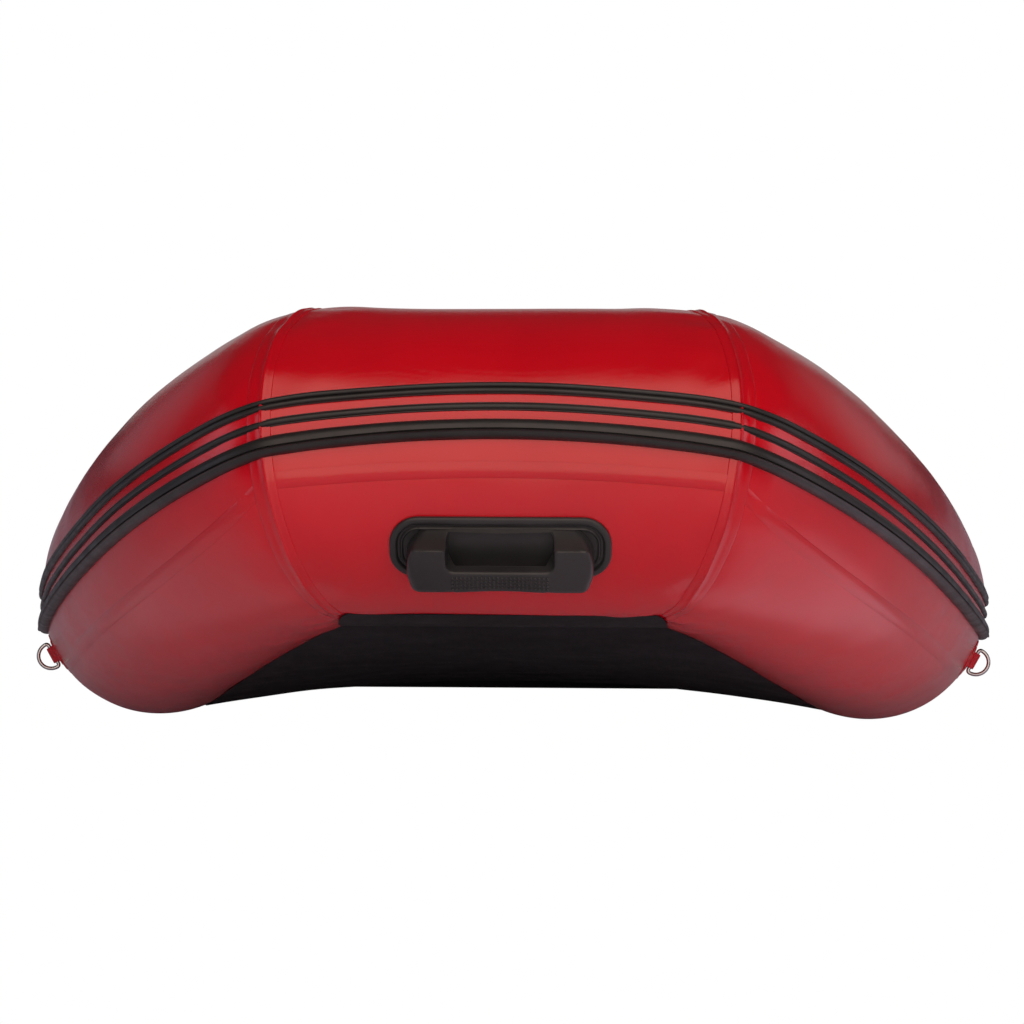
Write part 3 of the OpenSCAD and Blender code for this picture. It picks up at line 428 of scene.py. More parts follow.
# ---- Materials ----
class Shader:
    """A Principled material whose inputs are driven by procedural nodes in object coordinates."""

    def __init__(self, name, color, roughness, **sockets):
        self.mat = bpy.data.materials.new(name)
        self.mat.use_nodes = True
        self.tree = self.mat.node_tree
        self.bsdf = self.tree.nodes["Principled BSDF"]
        self.bsdf.inputs["Base Color"].default_value = (*color, 1)
        self.bsdf.inputs["Roughness"].default_value = roughness
        for key, value in sockets.items():
            self.bsdf.inputs[key.replace("_", " ")].default_value = value
        coords = self.tree.nodes.new("ShaderNodeTexCoord")
        self.where = coords.outputs["Object"]

    def link(self, source, target):
        self.tree.links.new(source, target)

    def put(self, source, socket):
        self.link(source, self.bsdf.inputs[socket])

    def patchy(self, size, detail, low, high):
        """Roughness that drifts between low and high."""
        self.put(self.ramp(self.noise(size, detail), (0.3, low), (0.7, high)), "Roughness")

    def node(self, kind, out, inputs, **settings):
        """The output of a new node whose inputs are plain values or other nodes' outputs."""
        node = self.tree.nodes.new("ShaderNode" + kind)
        for key, value in settings.items():
            setattr(node, key, value)
        for key, value in inputs.items():
            if isinstance(value, bpy.types.NodeSocket):
                self.link(value, node.inputs[key])
            else:
                node.inputs[key].default_value = value
        return node.outputs[out]

    def math(self, operation, *values):
        return self.node("Math", 0, dict(enumerate(values)), operation=operation)

    def stretched(self, scale):
        return self.node("Mapping", 0, {"Scale": scale, "Vector": self.where})

    def noise(self, size, detail, roughness=0.55, where=None):
        """Noise whose lumps are about size metres across, from 0 to 1."""
        return self.node("TexNoise", "Fac", {"Scale": 1 / size, "Detail": detail, "Roughness": roughness,
                                             "Vector": where or self.where})

    def cells(self, size):
        return self.node("TexVoronoi", "Distance", {"Scale": 1 / size, "Vector": self.where})

    def split(self):
        """X, Y and Z of the object coordinates."""
        node = self.tree.nodes.new("ShaderNodeSeparateXYZ")
        self.link(self.where, node.inputs[0])
        return node.outputs

    def weave(self, pitch):
        """A woven relief that reads on faces turned any way."""
        waves = [self.math("SINE", self.math("MULTIPLY", axis, 2 * math.pi / pitch))
                 for axis in self.split()]
        pairs = [self.math("MULTIPLY", waves[k], waves[(k + 1) % 3]) for k in range(3)]
        return self.math("ADD", self.math("ADD", pairs[0], pairs[1]), pairs[2])

    def ramp(self, fac, *stops):
        """Colours or grey levels by position, as (position, value) pairs."""
        node = self.tree.nodes.new("ShaderNodeValToRGB")
        elements = node.color_ramp.elements
        while len(elements) < len(stops):
            elements.new(0.5)
        for element, (position, value) in zip(elements, stops):
            element.position = position
            element.color = (*value, 1) if hasattr(value, "__len__") else (value, value, value, 1)
        self.link(fac, node.inputs["Fac"])
        return node.outputs["Color"]

    def blend(self, fac, a, b):
        """Colour between a and b by fac."""
        node = self.tree.nodes.new("ShaderNodeMix")
        node.data_type = "RGBA"
        for key, value in (("Factor", fac), ("A", a), ("B", b)):
            sockets = [s for s in node.inputs if s.name == key and s.enabled]
            if isinstance(value, (tuple, list)):
                sockets[0].default_value = (*value, 1)
            elif isinstance(value, (int, float)):
                sockets[0].default_value = value
            else:
                self.link(value, sockets[0])
        return [s for s in node.outputs if s.enabled][0]

    def relief(self, *layers):
        """Bump from (height, depth in metres) layers."""
        normal = None
        for height, depth in layers:
            inputs = {"Strength": 1, "Distance": depth, "Height": height}
            if normal is not None:
                inputs["Normal"] = normal
            normal = self.node("Bump", "Normal", inputs)
        self.put(normal, "Normal")


def scuffed(shader, dark, light, size, amount):
    """Base colour that drifts from dark to light, with faint pale scuffs."""
    drift = shader.ramp(shader.noise(size, 4), (0.35, dark), (0.65, light))
    marks = shader.ramp(shader.noise(size / 9, 8, 0.75, shader.stretched((1, 0.25, 1))),
                        (0.62, 0.0), (0.78, amount))
    return shader.blend(marks, drift, tuple(min(1, c * 1.5 + 0.05) for c in light))


def coated_red(name, dark, light, rough):
    s = Shader(name, light, rough, Specular_IOR_Level=0.52)
    s.put(scuffed(s, dark, light, 0.35, 0.03), "Base Color")
    s.patchy(0.12, 5, rough - 0.05, rough + 0.06)
    s.relief((s.weave(0.0011), 0.000012), (s.noise(0.012, 2), 0.00005), (s.noise(0.09, 2), 0.0005))
    return s.mat


def rubber(name, color, rough):
    s = Shader(name, color, rough, Specular_IOR_Level=0.38)
    dusty = tuple(c * 1.6 + 0.006 for c in color)
    s.put(scuffed(s, color, dusty, 0.15, 0.22), "Base Color")
    s.patchy(0.03, 5, rough - 0.07, rough + 0.1)
    s.relief((s.noise(0.0018, 2), 0.00006), (s.noise(0.02, 3), 0.00015))
    return s.mat


def woven_black(name):
    s = Shader(name, (0.012, 0.012, 0.0135), 0.5, Specular_IOR_Level=0.14)
    s.put(scuffed(s, (0.005, 0.0055, 0.007), (0.010, 0.011, 0.0135), 0.25, 0.12), "Base Color")
    s.patchy(0.06, 5, 0.46, 0.62)
    s.relief((s.weave(0.0022), 0.00007), (s.noise(0.05, 3), 0.0008))
    return s.mat


def deck_skin(name, dark, light, pitch=0.004):
    """Grey coated fabric with a fine raised non-slip pattern."""
    s = Shader(name, light, 0.6)
    s.put(scuffed(s, dark, light, 0.3, 0.15), "Base Color")
    s.patchy(0.05, 5, 0.5, 0.68)
    s.relief((s.weave(pitch), 0.00025), (s.noise(0.06, 3), 0.0005))
    return s.mat


def painted_board(name, dark, light):
    """Smooth plastic-faced plywood, lightly scratched."""
    s = Shader(name, light, 0.42, Coat_Weight=0.25, Coat_Roughness=0.2)
    grain = s.noise(0.02, 6, 0.6, s.stretched((0.12, 1, 1)))
    s.put(s.blend(s.ramp(grain, (0.4, 0.0), (0.62, 0.35)),
                  scuffed(s, dark, light, 0.25, 0.3), dark), "Base Color")
    s.patchy(0.03, 6, 0.34, 0.52)
    s.relief((grain, 0.0001), (s.noise(0.004, 3), 0.00004))
    return s.mat


PLY_PITCH = 0.0055


def ply_edge(name):
    """The plywood's layers, seen on its cut edges."""
    s = Shader(name, (0.32, 0.2, 0.1), 0.6)
    ply = s.math("SINE", s.math("MULTIPLY", s.split()[1], 2 * math.pi / PLY_PITCH))
    grain = s.noise(0.006, 5, 0.6, s.stretched((0.2, 1, 0.2)))
    s.put(s.blend(s.ramp(s.math("ADD", ply, grain), (0.35, 0.0), (0.7, 1.0)),
                  (0.16, 0.085, 0.04), (0.40, 0.26, 0.14)), "Base Color")
    s.relief((ply, 0.0002))
    return s.mat


def polished_metal(name, color, rough, brushed=(1, 1, 1)):
    s = Shader(name, color, rough, Metallic=1.0)
    streaks = s.noise(0.003, 5, 0.6, s.stretched(brushed))
    s.put(s.ramp(streaks, (0.3, max(0.03, rough - 0.06)), (0.7, rough + 0.08)), "Roughness")
    s.put(s.blend(s.noise(0.02, 4), tuple(c * 0.86 for c in color), color), "Base Color")
    s.relief((streaks, 0.00002))
    return s.mat


def moulded(name, color, rough):
    s = Shader(name, color, rough)
    s.put(scuffed(s, color, tuple(c * 1.35 + 0.004 for c in color), 0.05, 0.3), "Base Color")
    s.patchy(0.01, 5, rough - 0.06, rough + 0.1)
    s.relief((s.cells(0.0012), 0.00005))
    return s.mat


RED_SKIN = coated_red("red_coated_fabric", (0.50, 0.0015, 0.009), (0.57, 0.002, 0.011), 0.16)
RED_TAPE = coated_red("red_seam_tape", (0.48, 0.0015, 0.009), (0.55, 0.002, 0.011), 0.15)
STRAKE_RUBBER = rubber("strake_rubber", (0.011, 0.011, 0.0115), 0.40)
GRIP_RUBBER = rubber("grip_rubber", (0.012, 0.0125, 0.014), 0.36)
PAD_RUBBER = rubber("pad_rubber", (0.02, 0.02, 0.021), 0.55)
SHEET_FABRIC = woven_black("black_coated_fabric")
DECK_TOP = deck_skin("deck_fabric", (0.26, 0.27, 0.29), (0.38, 0.39, 0.41))
DECK_EDGE = deck_skin("deck_side_tape", (0.07, 0.07, 0.075), (0.11, 0.11, 0.12), 0.0018)
BOARD = painted_board("grey_board", (0.30, 0.31, 0.32), (0.42, 0.43, 0.44))
BOARD_EDGE = ply_edge("plywood_edge")
STEEL = polished_metal("stainless_steel", (0.46, 0.46, 0.48), 0.18)
ALUMINIUM = polished_metal("oar_aluminium", (0.78, 0.79, 0.80), 0.30, (1, 0.02, 1))
PLASTIC = moulded("black_plastic", (0.018, 0.018, 0.019), 0.38)
WHITE_PLASTIC = moulded("white_plastic", (0.62, 0.62, 0.60), 0.4)


def piece(obj, material, slot, body, *nodes):
    """Finishes obj: its material and body, and the CAD nodes that it stands for. The slot is not used."""
    if not isinstance(material, (list, tuple)):
        material = [material]
    obj.data.materials.clear()
    for m in material:
        obj.data.materials.append(m)
    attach(obj, body)
    if nodes:
        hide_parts(*nodes)
    return obj


def edged(obj, is_edge):
    """Gives the second material to the faces that are edges."""
    for face in obj.data.polygons:
        face.material_index = int(is_edge(face))


def both_sides(obj, material, slot, body, stem, node):
    """A port piece and its starboard twin. {side} in body or stem, or before node, names both."""
    twin = mirror_copy(obj, stem.format(side="starboard"))
    obj.name = stem.format(side="port")
    for side, o in (("port", obj), ("starboard", twin)):
        piece(o, material, slot, body.format(side=side), f"{side}_{node}")


# ---- Hull skins ----
GIRTHS = 300
DEG = np.linspace(-180, 180, GIRTHS, endpoint=False)
SKIN_R = TUBE_R - 0.0004  # between the seams, where the fabric is even


def lumps(points, size, seed):
    """Smooth unevenness between about -1 and 1, the same each run."""
    rng = np.random.default_rng(seed)
    total = 0
    for _ in range(7):
        wave = unit(rng.normal(size=3)) * 2 * np.pi / (size * rng.uniform(0.75, 1.4))
        total = total + np.sin(points @ wave + rng.uniform(0, 6.28))
    return total / 3.2


def beside_seam(away, points, seed):
    """Radial relief near a glued seam: drawn in at the seam, swelling and puckered beside it."""
    return (-0.0022 * bump(away, 0.020) + 0.0014 * bump(away - 0.055, 0.028)
            + 0.0010 * lumps(points, 0.045, seed) * np.exp(-away / 0.05))


def panel(points, seed):
    """Slight unevenness of the fabric between the seams."""
    return 0.0007 * lumps(points, 0.30, seed) + 0.0003 * lumps(points, 0.11, seed + 1)


def skin_bow(x, deg, above=0.0):
    at = bow_pt(x, deg, TUBE_R)
    flat = np.stack([np.abs(at[..., 0]), at[..., 1], at[..., 2]], -1)
    away = np.abs((TURN_START - flat) @ MITRE_N)
    rho = SKIN_R + beside_seam(away, at, 3) + panel(at, 20) + above
    return bow_pt(x, deg, rho)


def skin_curve(u, deg, above, side):
    at = curve_pt(u, deg, TUBE_R)
    signed = at * np.array([side, 1, 1])
    ahead = np.abs((at - TURN_START) @ MITRE_N)
    astern = np.abs(CURVE_END_Y - at[..., 1])
    rho = (SKIN_R + beside_seam(ahead, signed, 3) + 0.6 * beside_seam(astern, signed, 5)
           + panel(signed, 20) + above)
    return curve_pt(u, deg, rho)


def skin_side(y, deg, above, side):
    at = side_pt(y, deg, TUBE_R)
    signed = at * np.array([side, 1, 1])
    rho = (SKIN_R + 0.6 * beside_seam(np.abs(at[..., 1] - CURVE_END_Y), signed, 5)
           + 0.6 * beside_seam(np.abs(at[..., 1] - CONE_Y), signed, 7) + panel(signed, 20) + above)
    return side_pt(y, deg, rho)


def skin_cone(y, deg, above, side):
    reach = STERN_Y - CAP_T - CONE_Y
    y, deg = np.broadcast_arrays(np.asarray(y, float), np.asarray(deg, float))
    f = (y - CONE_Y) / reach
    at = side_pt(y, deg, mix(TUBE_R, CONE_TIP_R, f))
    signed = at * np.array([side, 1, 1])
    rho = (mix(SKIN_R, CONE_TIP_R, f) + 0.6 * beside_seam(y - CONE_Y, signed, 7)
           + 0.006 * np.sin(np.pi * f) + 0.0006 * lumps(signed, 0.09, 9) + above)
    return side_pt(y, deg, rho)


def handed(points, side):
    return points if side > 0 else mirrored(points)


def fabric_shell(name, outer, inner):
    rings = np.concatenate([outer, inner[::-1]])
    return swept(name, rings, wrap_rows=True, smooth_angle=60)


def sided_shell(name, skin, along, side):
    """The fabric of one section of the hull, from its skin function and its places along it."""
    outer, inner = (handed(skin(along, DEG[None, :], above, side), side) for above in (0, -FABRIC))
    return fabric_shell(name, outer, inner)


VALVE_DEG = 135
VALVE_HOLE_R = 0.0184


def valve_drill(where):
    """A drill for a valve hole, with local +Z outwards and its origin on the tube's axis."""
    drill = lathe("valve_drill", [(VALVE_HOLE_R, TUBE_R - 0.04), (VALVE_HOLE_R, TUBE_R + 0.03)], 40)
    return moved(drill, where)


SIDE_VALVE_Y = box_middle("port_valve_cap")[1]
SIDES = ((1, "port"), (-1, "starboard"))

along_bow = np.linspace(-1, 1, 150)[:, None] * (mitre_x(DEG, TUBE_R) - SEAM_GAP)[None, :]
bow_skin = fabric_shell("bow_tube_skin", skin_bow(along_bow, DEG[None, :]),
                        skin_bow(along_bow, DEG[None, :], -FABRIC))
tidy_mesh(cut(bow_skin, [valve_drill(on_bow(0, VALVE_DEG))]), 60)
piece(bow_skin, RED_SKIN, "red_fabric", "hull", "bow_tube")

along_curve = np.linspace(0.0005, 1, 170)[:, None]
along_side = np.linspace(CURVE_END_Y + SEAM_GAP, CONE_Y, 150)[:, None]
along_cone = np.linspace(CONE_Y + SEAM_GAP, STERN_Y - CAP_T, 40)[:, None]
for side, label in SIDES:
    curve = sided_shell(f"{label}_curve_skin", skin_curve, along_curve, side)
    piece(curve, RED_SKIN, "red_fabric", "hull", f"{label}_bow_curve")
    tube = sided_shell(f"{label}_side_skin", skin_side, along_side, side)
    drill = valve_drill(on_side(SIDE_VALVE_Y, VALVE_DEG))
    if side < 0:
        moved(drill, TO_STARBOARD)
    tidy_mesh(cut(tube, [drill]), 60)
    piece(tube, RED_SKIN, "red_fabric", "hull", f"{label}_side_tube")
    cone = sided_shell(f"{label}_cone_skin", skin_cone, along_cone, side)
    piece(cone, RED_SKIN, "red_fabric", "hull", f"{label}_stern_cone")

# ---- Seam tapes ----
TAPE_HALF_W = 0.012
TAPE_FOOT = -0.0015
# Height of a tape by distance from its middle, thin at its edges with a raised line along it
TAPE_ACROSS = np.array([-1.0, -0.97, -0.90, -0.5, -0.16, -0.10, -0.04, 0.04, 0.10, 0.16, 0.5,
                        0.90, 0.97, 1.0])
TAPE_HEIGHT = np.array([0.0, 0.0007, 0.0011, 0.0011, 0.0011, 0.0018, 0.0024, 0.0024, 0.0018, 0.0011,
                        0.0011, 0.0011, 0.0007, 0.0])


def mitre_row(offset, deg, above, side):
    """Points round the mitre, at an offset that is negative on the bow tube and positive on the curve."""
    if offset < 0:
        bow_deg = mirrored_deg(deg)
        x = mitre_x(bow_deg, TUBE_R) + offset
        return skin_bow(x * side, bow_deg, above)
    return handed(skin_curve(offset / (3 * BOW_PULL), deg, above, side), side)


def mirrored_deg(deg):
    """Angles on the bow tube that meet these angles of the curve at the mitre."""
    d = girth_dir(TURN_DIR, deg)
    d = d - 2 * (d @ MITRE_N)[..., None] * MITRE_N
    return np.degrees(np.arctan2(d[..., 2], -d[..., 1]))


def band(name, row):
    """A tape from rows of points; row(offset, deg, above) gives one row."""
    deg = np.linspace(-180, 180, 400, endpoint=False)
    top = [row(a * TAPE_HALF_W, deg, h) for a, h in zip(TAPE_ACROSS, TAPE_HEIGHT)]
    low = [row(a * TAPE_HALF_W, deg, TAPE_FOOT) for a in TAPE_ACROSS[::-1]]
    return swept(name, np.array(top + low), wrap_rows=True, smooth_angle=50)


for side, label in SIDES:
    def side_row(offset, deg, above):
        if offset < 0:
            return handed(skin_curve(1 + offset / (3 * SIDE_PULL), deg, above, side), side)
        return handed(skin_side(CURVE_END_Y + offset, deg, above, side), side)

    def cone_row(offset, deg, above):
        skin = skin_side if offset < 0 else skin_cone
        return handed(skin(CONE_Y + offset, deg, above, side), side)

    mitre = band(f"{label}_mitre_tape", lambda o, d, h: mitre_row(o, d, h, side))
    piece(mitre, RED_TAPE, "red_fabric", "hull", "mitre_tapes")
    piece(band(f"{label}_side_tape", side_row), RED_TAPE, "red_fabric", "hull", "side_tapes")
    piece(band(f"{label}_cone_tape", cone_row), RED_TAPE, "red_fabric", "hull")

# ---- Long welded lap along the tubes ----
LAP_HALF_W = 0.0098
LAP_T = 0.0009
LAP_MITRE_DEG = 0.0
LAP_CROWN_DEG = 4.5
LAP_SIDE_DEG = -35.5
LAP_FADE = 0.108
TAPER_SINK = 0.002  # how far a tapered end goes into the tube


def long_path(u_deg, bow_deg_at):
    """Stations from the middle of the bow to the stern cone: section, place along it and angle."""
    stations = [("bow", f, bow_deg_at(f)) for f in np.linspace(0, 1, 50, endpoint=False)]
    stations += [("curve", u, u_deg(u)) for u in np.linspace(0, 1, 120)]
    stations += [("side", y, u_deg(1.0)) for y in np.linspace(CURVE_END_Y, CONE_Y, 50)[1:]]
    return stations


def station_points(station, offsets, above, side):
    """A ring of points at one station; offsets are degrees of girth."""
    kind, place, deg = station
    if kind == "bow":
        degs = deg + offsets
        return skin_bow(side * place * mitre_x(degs, TUBE_R), degs, above)
    if kind == "curve":
        return handed(skin_curve(place, deg + offsets, above, side), side)
    return handed(skin_side(place, deg + offsets, above, side), side)


def taper_end(rows, taper):
    """Rounds a strip down into the tube over the length taper from its first row."""
    tip = rows[0, :, 1].mean()
    for row in rows[:14]:
        far_in = abs(row[:, 1].mean() - tip) / taper
        if far_in >= 1:
            break
        keep = math.sqrt(max(0.0, 1 - (1 - far_in) ** 2))
        out = row - np.array([SIDE_X * np.sign(row[0, 0]), 0, SIDE_Z])
        out[:, 1] = 0
        rho = np.linalg.norm(out, axis=1)
        target = np.minimum(rho, TUBE_R - TAPER_SINK + (rho - TUBE_R + TAPER_SINK) * keep)
        row -= out * (1 - target / rho)[:, None]


def along_hull(name, profile, u_deg, bow_deg_at, soften=4, taper=0.0):
    """A strip glued right round the hull. profile is (girth, height) pairs in metres."""
    profile = np.asarray(profile, float)
    offsets = np.degrees(profile[:, 0] / TUBE_R)
    stations = long_path(u_deg, bow_deg_at)
    port, starboard = (np.array([station_points(s, offsets, profile[:, 1], side) for s in stations])
                       for side in (1, -1))
    rows = np.concatenate([starboard[::-1], port[1:]])
    for _ in range(soften):
        rows[1:-1] = 0.25 * rows[:-2] + 0.5 * rows[1:-1] + 0.25 * rows[2:]
    if taper:
        taper_end(rows, taper)
        taper_end(rows[::-1], taper)
    return swept(name, rows, smooth_angle=50)


def fading(start, end, fade):
    """An angle along the curve that goes from start towards end."""
    return lambda u: end + (start - end) * math.exp(-u / fade)


def crowned(mitre_deg, crown_deg):
    """An angle along the bow tube, highest in the middle."""
    return lambda f: mitre_deg + crown_deg * (1 - f * f)


lap_half = [(LAP_HALF_W, -0.001), (LAP_HALF_W, LAP_T * 0.5), (LAP_HALF_W * 0.93, LAP_T)]
lap = along_hull("long_seam_lap", lap_half + [(-a, h) for a, h in lap_half[::-1]],
                 fading(past_mitre(LAP_MITRE_DEG), LAP_SIDE_DEG, LAP_FADE),
                 crowned(LAP_MITRE_DEG, LAP_CROWN_DEG))
piece(lap, RED_TAPE, "red_fabric", "hull")

# ---- Rub strakes ----
UPPER_STEP_DEG = 6.8
LOWER_STEP_DEG = 8.1
STRAKE_SEAT = 0.0004
STRAKE_TAPER = 0.035


def strake_profile(width, height, shape, count=41):
    """Outline of a strake from shape(t), its height as a share of height for t from 1 to -1."""
    t = np.sin(np.linspace(1, -1, count) * np.pi / 2)
    top = [(width / 2 * a, STRAKE_SEAT + height * max(0.02, shape(a))) for a in t]
    return [(width / 2, -0.004)] + top + [(-width / 2, -0.004)]


def round_top(t, middle, half):
    return math.sqrt(max(0.0, 1 - ((t - middle) / half) ** 2))


def twin_shape(t):
    flange = 0.34 * min(1, (1 - abs(t)) / 0.06)
    return max(flange, 0.30 + 0.70 * max(round_top(t, 0.47, 0.43), round_top(t, -0.47, 0.43)))


def bead_shape(t):
    flange = 0.30 * min(1, (1 - abs(t)) / 0.08)
    return max(flange, round_top(t, 0, 0.80))


def fender_shape(t):
    body = (1 - abs(t) ** 2.6) ** 0.62
    rib = 0.16 * math.exp(-((t + 0.30) / 0.055) ** 2)
    groove = 0.14 * math.exp(-((t + 0.16) / 0.05) ** 2)
    return 0.93 * body + rib - groove


# Node, angle from the middle strake, width, height and shape
STRAKES = (
    ("upper_strake", UPPER_STEP_DEG, 0.0145, 0.0054, twin_shape),
    ("middle_strake", 0.0, 0.010, 0.0045, bead_shape),
    ("lower_strake", -LOWER_STEP_DEG, 0.0235, 0.0135, fender_shape),
)
for node, step, width, height, shape in STRAKES:
    strip = along_hull(node + "_rubber", strake_profile(width, height, shape),
                       fading(past_mitre(STRAKE_MITRE_DEG) + step, STRAKE_SIDE_DEG + step, STRAKE_FADE),
                       crowned(STRAKE_MITRE_DEG + step, STRAKE_CROWN_DEG), soften=6, taper=STRAKE_TAPER)
    piece(strip, STRAKE_RUBBER, "black_rubber", "hull", node)


# ---- Bottom sheet ----
SHEET_T = 0.0015
SHEET_BOW_DEG = -64
SHEET_ARCH = 0.046
SHEET_TUCK_DEG = 21
SHEET_SEAT_R = TUBE_R - 0.0006  # glued down on the skin of the curve, with no slit
SHEET_SWING = 0.11  # share of the curve in which its edge swings under the tube
SHEET_FLAT_Y = CURVE_END_Y + 0.160
SHEET_FRONT = 0.90  # width of its front edge on the bow tube, as a share of the mitre's
SHEET_END_Y = TRANSOM_Y + HOLDER_W / 2
SHEET_COLS = 60


def sheet_edge(place):
    """Port edge of the sheet: place is u on the curve up to 1, SHEET_FLAT_Y at 2 and SHEET_END_Y at 3."""
    if place <= 1:
        deg = mix(past_mitre(SHEET_BOW_DEG), -90 - SHEET_TUCK_DEG, smooth(place / SHEET_SWING))
        return curve_pt(place, deg, SHEET_SEAT_R)
    if place <= 2:
        y = mix(CURVE_END_Y, SHEET_FLAT_Y, place - 1)
    else:
        y = mix(SHEET_FLAT_Y, SHEET_END_Y, place - 2)
    seat_r = mix(SHEET_SEAT_R, TUBE_R + OVER_TAPE, min(1, place - 1))
    return side_pt(y, -90 - SHEET_TUCK_DEG * max(0, 2 - place), seat_r)


def sheet_bump(place):
    """How far the sheet arches up between its edges, as a share of SHEET_ARCH."""
    return float(smooth((place - 0.15) / 0.6)) * min(1, max(0, 2 - place))


def sheet_rows(drop):
    rows = []
    f = np.linspace(1, -1, SHEET_COLS)
    for place in np.concatenate([np.linspace(0, 1, 70), np.linspace(1, 3, 50)[1:]]):
        edge = sheet_edge(place)
        width = 1 - f * f
        lift = SHEET_ARCH * sheet_bump(place) * width
        reach = edge[0] * mix(SHEET_FRONT, 1, smooth(place / 0.08))
        row = np.stack([reach * f, np.full(SHEET_COLS, edge[1]), edge[2] + lift - drop], -1)
        row[:, 2] += 0.0012 * width * sheet_bump(place) * lumps(row, 0.16, 31)
        rows.append(row)
    return np.array(rows)


upper, lower = sheet_rows(0), sheet_rows(SHEET_T)
sheet = swept("bottom_sheet_fabric", np.concatenate([upper, lower[:, ::-1]], 1), smooth_angle=50)
piece(sheet, SHEET_FABRIC, "black_fabric", "hull", "bottom_sheet")

# ---- Bow handle, shaped flat in (across, up the girth, out) and then bent round the bow tube ----
HANDLE_DEG = -24
HANDLE_W = 0.254
HANDLE_GIRTH = 0.080


def bend_to_bow(obj):
    return reshaped(obj, lambda co: bow_pt(co[:, 0], HANDLE_DEG + np.degrees(co[:, 1] / TUBE_R),
                                           TUBE_R + co[:, 2]), 42)


def dense(outline, step):
    """A closed outline with more points along its straight runs."""
    fine = []
    for a, b in zip(outline, np.roll(outline, -1, 0)):
        n = max(1, int(np.linalg.norm(b - a) / step))
        fine.extend(a + (b - a) * k / n for k in range(n))
    return np.array(fine)


# Height of the tray by distance in from its rim: a flat flange, a step down, a ridge, the floor
TRAY_CORNER = 0.0335
TRAY_INSET = (0.0, 0.0, 0.0005, 0.0014, 0.0036, 0.0070, 0.0079, 0.0088, 0.0095, 0.0118, 0.0126,
              0.0134, 0.0143, 0.0151, 0.0160, 0.020, 0.026, 0.0325)
TRAY_HEIGHT = (0.0004, 0.0034, 0.0046, 0.0052, 0.0055, 0.0055, 0.0049, 0.0030, 0.0017, 0.0014, 0.0022,
               0.0033, 0.0035, 0.0029, 0.0017, 0.0014, 0.0014, 0.0014)
tray_rings = []
for inset, height in zip(TRAY_INSET, TRAY_HEIGHT):
    outline = rounded_outline(HANDLE_W - 2 * inset, HANDLE_GIRTH - 2 * inset, TRAY_CORNER - inset, 14)
    tray_rings.append((dense(outline, 0.006) if inset < 0.02 else outline, height))


def ring_loft(name, rings, count=260):
    """A solid through (outline, height) rings, whose points are matched by their share of the way round."""
    rows = []
    for ring, height in rings:
        loop = np.vstack([ring, ring[:1]])
        run = np.concatenate([[0], np.cumsum(np.linalg.norm(np.diff(loop, axis=0), axis=1))])
        at = np.linspace(0, run[-1], count, endpoint=False)
        flat = np.stack([np.interp(at, run, loop[:, k]) for k in range(2)], -1)
        rows.append(np.column_stack([flat, np.full(count, height)]))
    return swept(name, np.array(rows), smooth_angle=42)


tray = ring_loft("bow_handle_tray", tray_rings)
piece(bend_to_bow(tray), GRIP_RUBBER, "black_rubber", "hull", "bow_handle_plate")

# The grip is one moulding: a frame round the finger pocket, from its outer to its inner outline
GRIP_OUT = 0.0355
GRIP_CORNERS = [(0.0900, 0.0272), (-0.0900, 0.0272), (-0.1015, -0.0410), (0.1015, -0.0410)]
GRIP_OUTLINE = [GRIP_CORNERS[0], GRIP_CORNERS[1], (-0.1060, 0.0080), (-0.1080, -0.0180),
                GRIP_CORNERS[2], GRIP_CORNERS[3], (0.1080, -0.0180), (0.1060, 0.0080)]
POCKET_CORNERS = [(0.0615, 0.0256), (-0.0615, 0.0256), (-0.0615, -0.0100), (0.0615, -0.0100)]
GRIP_COUNTS = (130, 56, 130, 56)
BAR_BACK, GRIP_SEAT = 0.0200, 0.0011  # height of its back behind the bar, and on the tray
GRIP_FOOT_R = 0.0040  # rounding of its back edges
GRIP_FLARE = 0.0012  # how far its back spreads beyond its face
POCKET_LIP_R = 0.0034


def bar_arch(a):
    """How far the bar's lower edge curves up in the middle."""
    return 0.0034 * smooth(1 - np.abs(a) / 0.080)


def cornered_ring(outline, corners):
    """A closed outline resampled so that each corner comes at the same place in every ring."""
    outline = dense(outline, 0.0004)
    at = [int(np.argmin(np.linalg.norm(outline - np.array(c), axis=1))) for c in corners]
    rows = []
    for k, count in enumerate(GRIP_COUNTS):
        i, j = at[k], at[(k + 1) % 4]
        run = outline[np.arange(i, j + 1 + (len(outline) if j <= i else 0)) % len(outline)]
        length = np.concatenate([[0], np.cumsum(np.linalg.norm(np.diff(run, axis=0), axis=1))])
        places = np.linspace(0, length[-1], count, endpoint=False)
        rows.append(np.stack([np.interp(places, length, run[:, m]) for m in range(2)], -1))
    return np.vstack(rows)


def inward(ring):
    """Unit vectors to the left of a ring that runs anticlockwise."""
    return left_of(unit(np.roll(ring, -2, 0) - np.roll(ring, 2, 0)))


def grip_top(p):
    """Height of the grip's face: level over the bar and arms, then a steep slope up to its top edge."""
    a, b = np.abs(p[:, 0]), p[:, 1]
    slope = np.clip((b - 0.0140) / 0.0125, 0, 1)
    fall = slope + 0.10 * np.sin(np.pi * slope)
    return GRIP_OUT - 0.0010 * (a / 0.1) ** 2 - 0.0300 * fall * (1 + 0.06 * (a / 0.1))


def grip_under(p):
    """Height of the grip's back: clear of the tray behind the bar, and down on it elsewhere."""
    a, b = np.abs(p[:, 0]), p[:, 1]
    shut = np.maximum(smooth((a - 0.050) / 0.011), smooth((b + 0.001) / 0.006))
    return mix(BAR_BACK, GRIP_SEAT, shut)


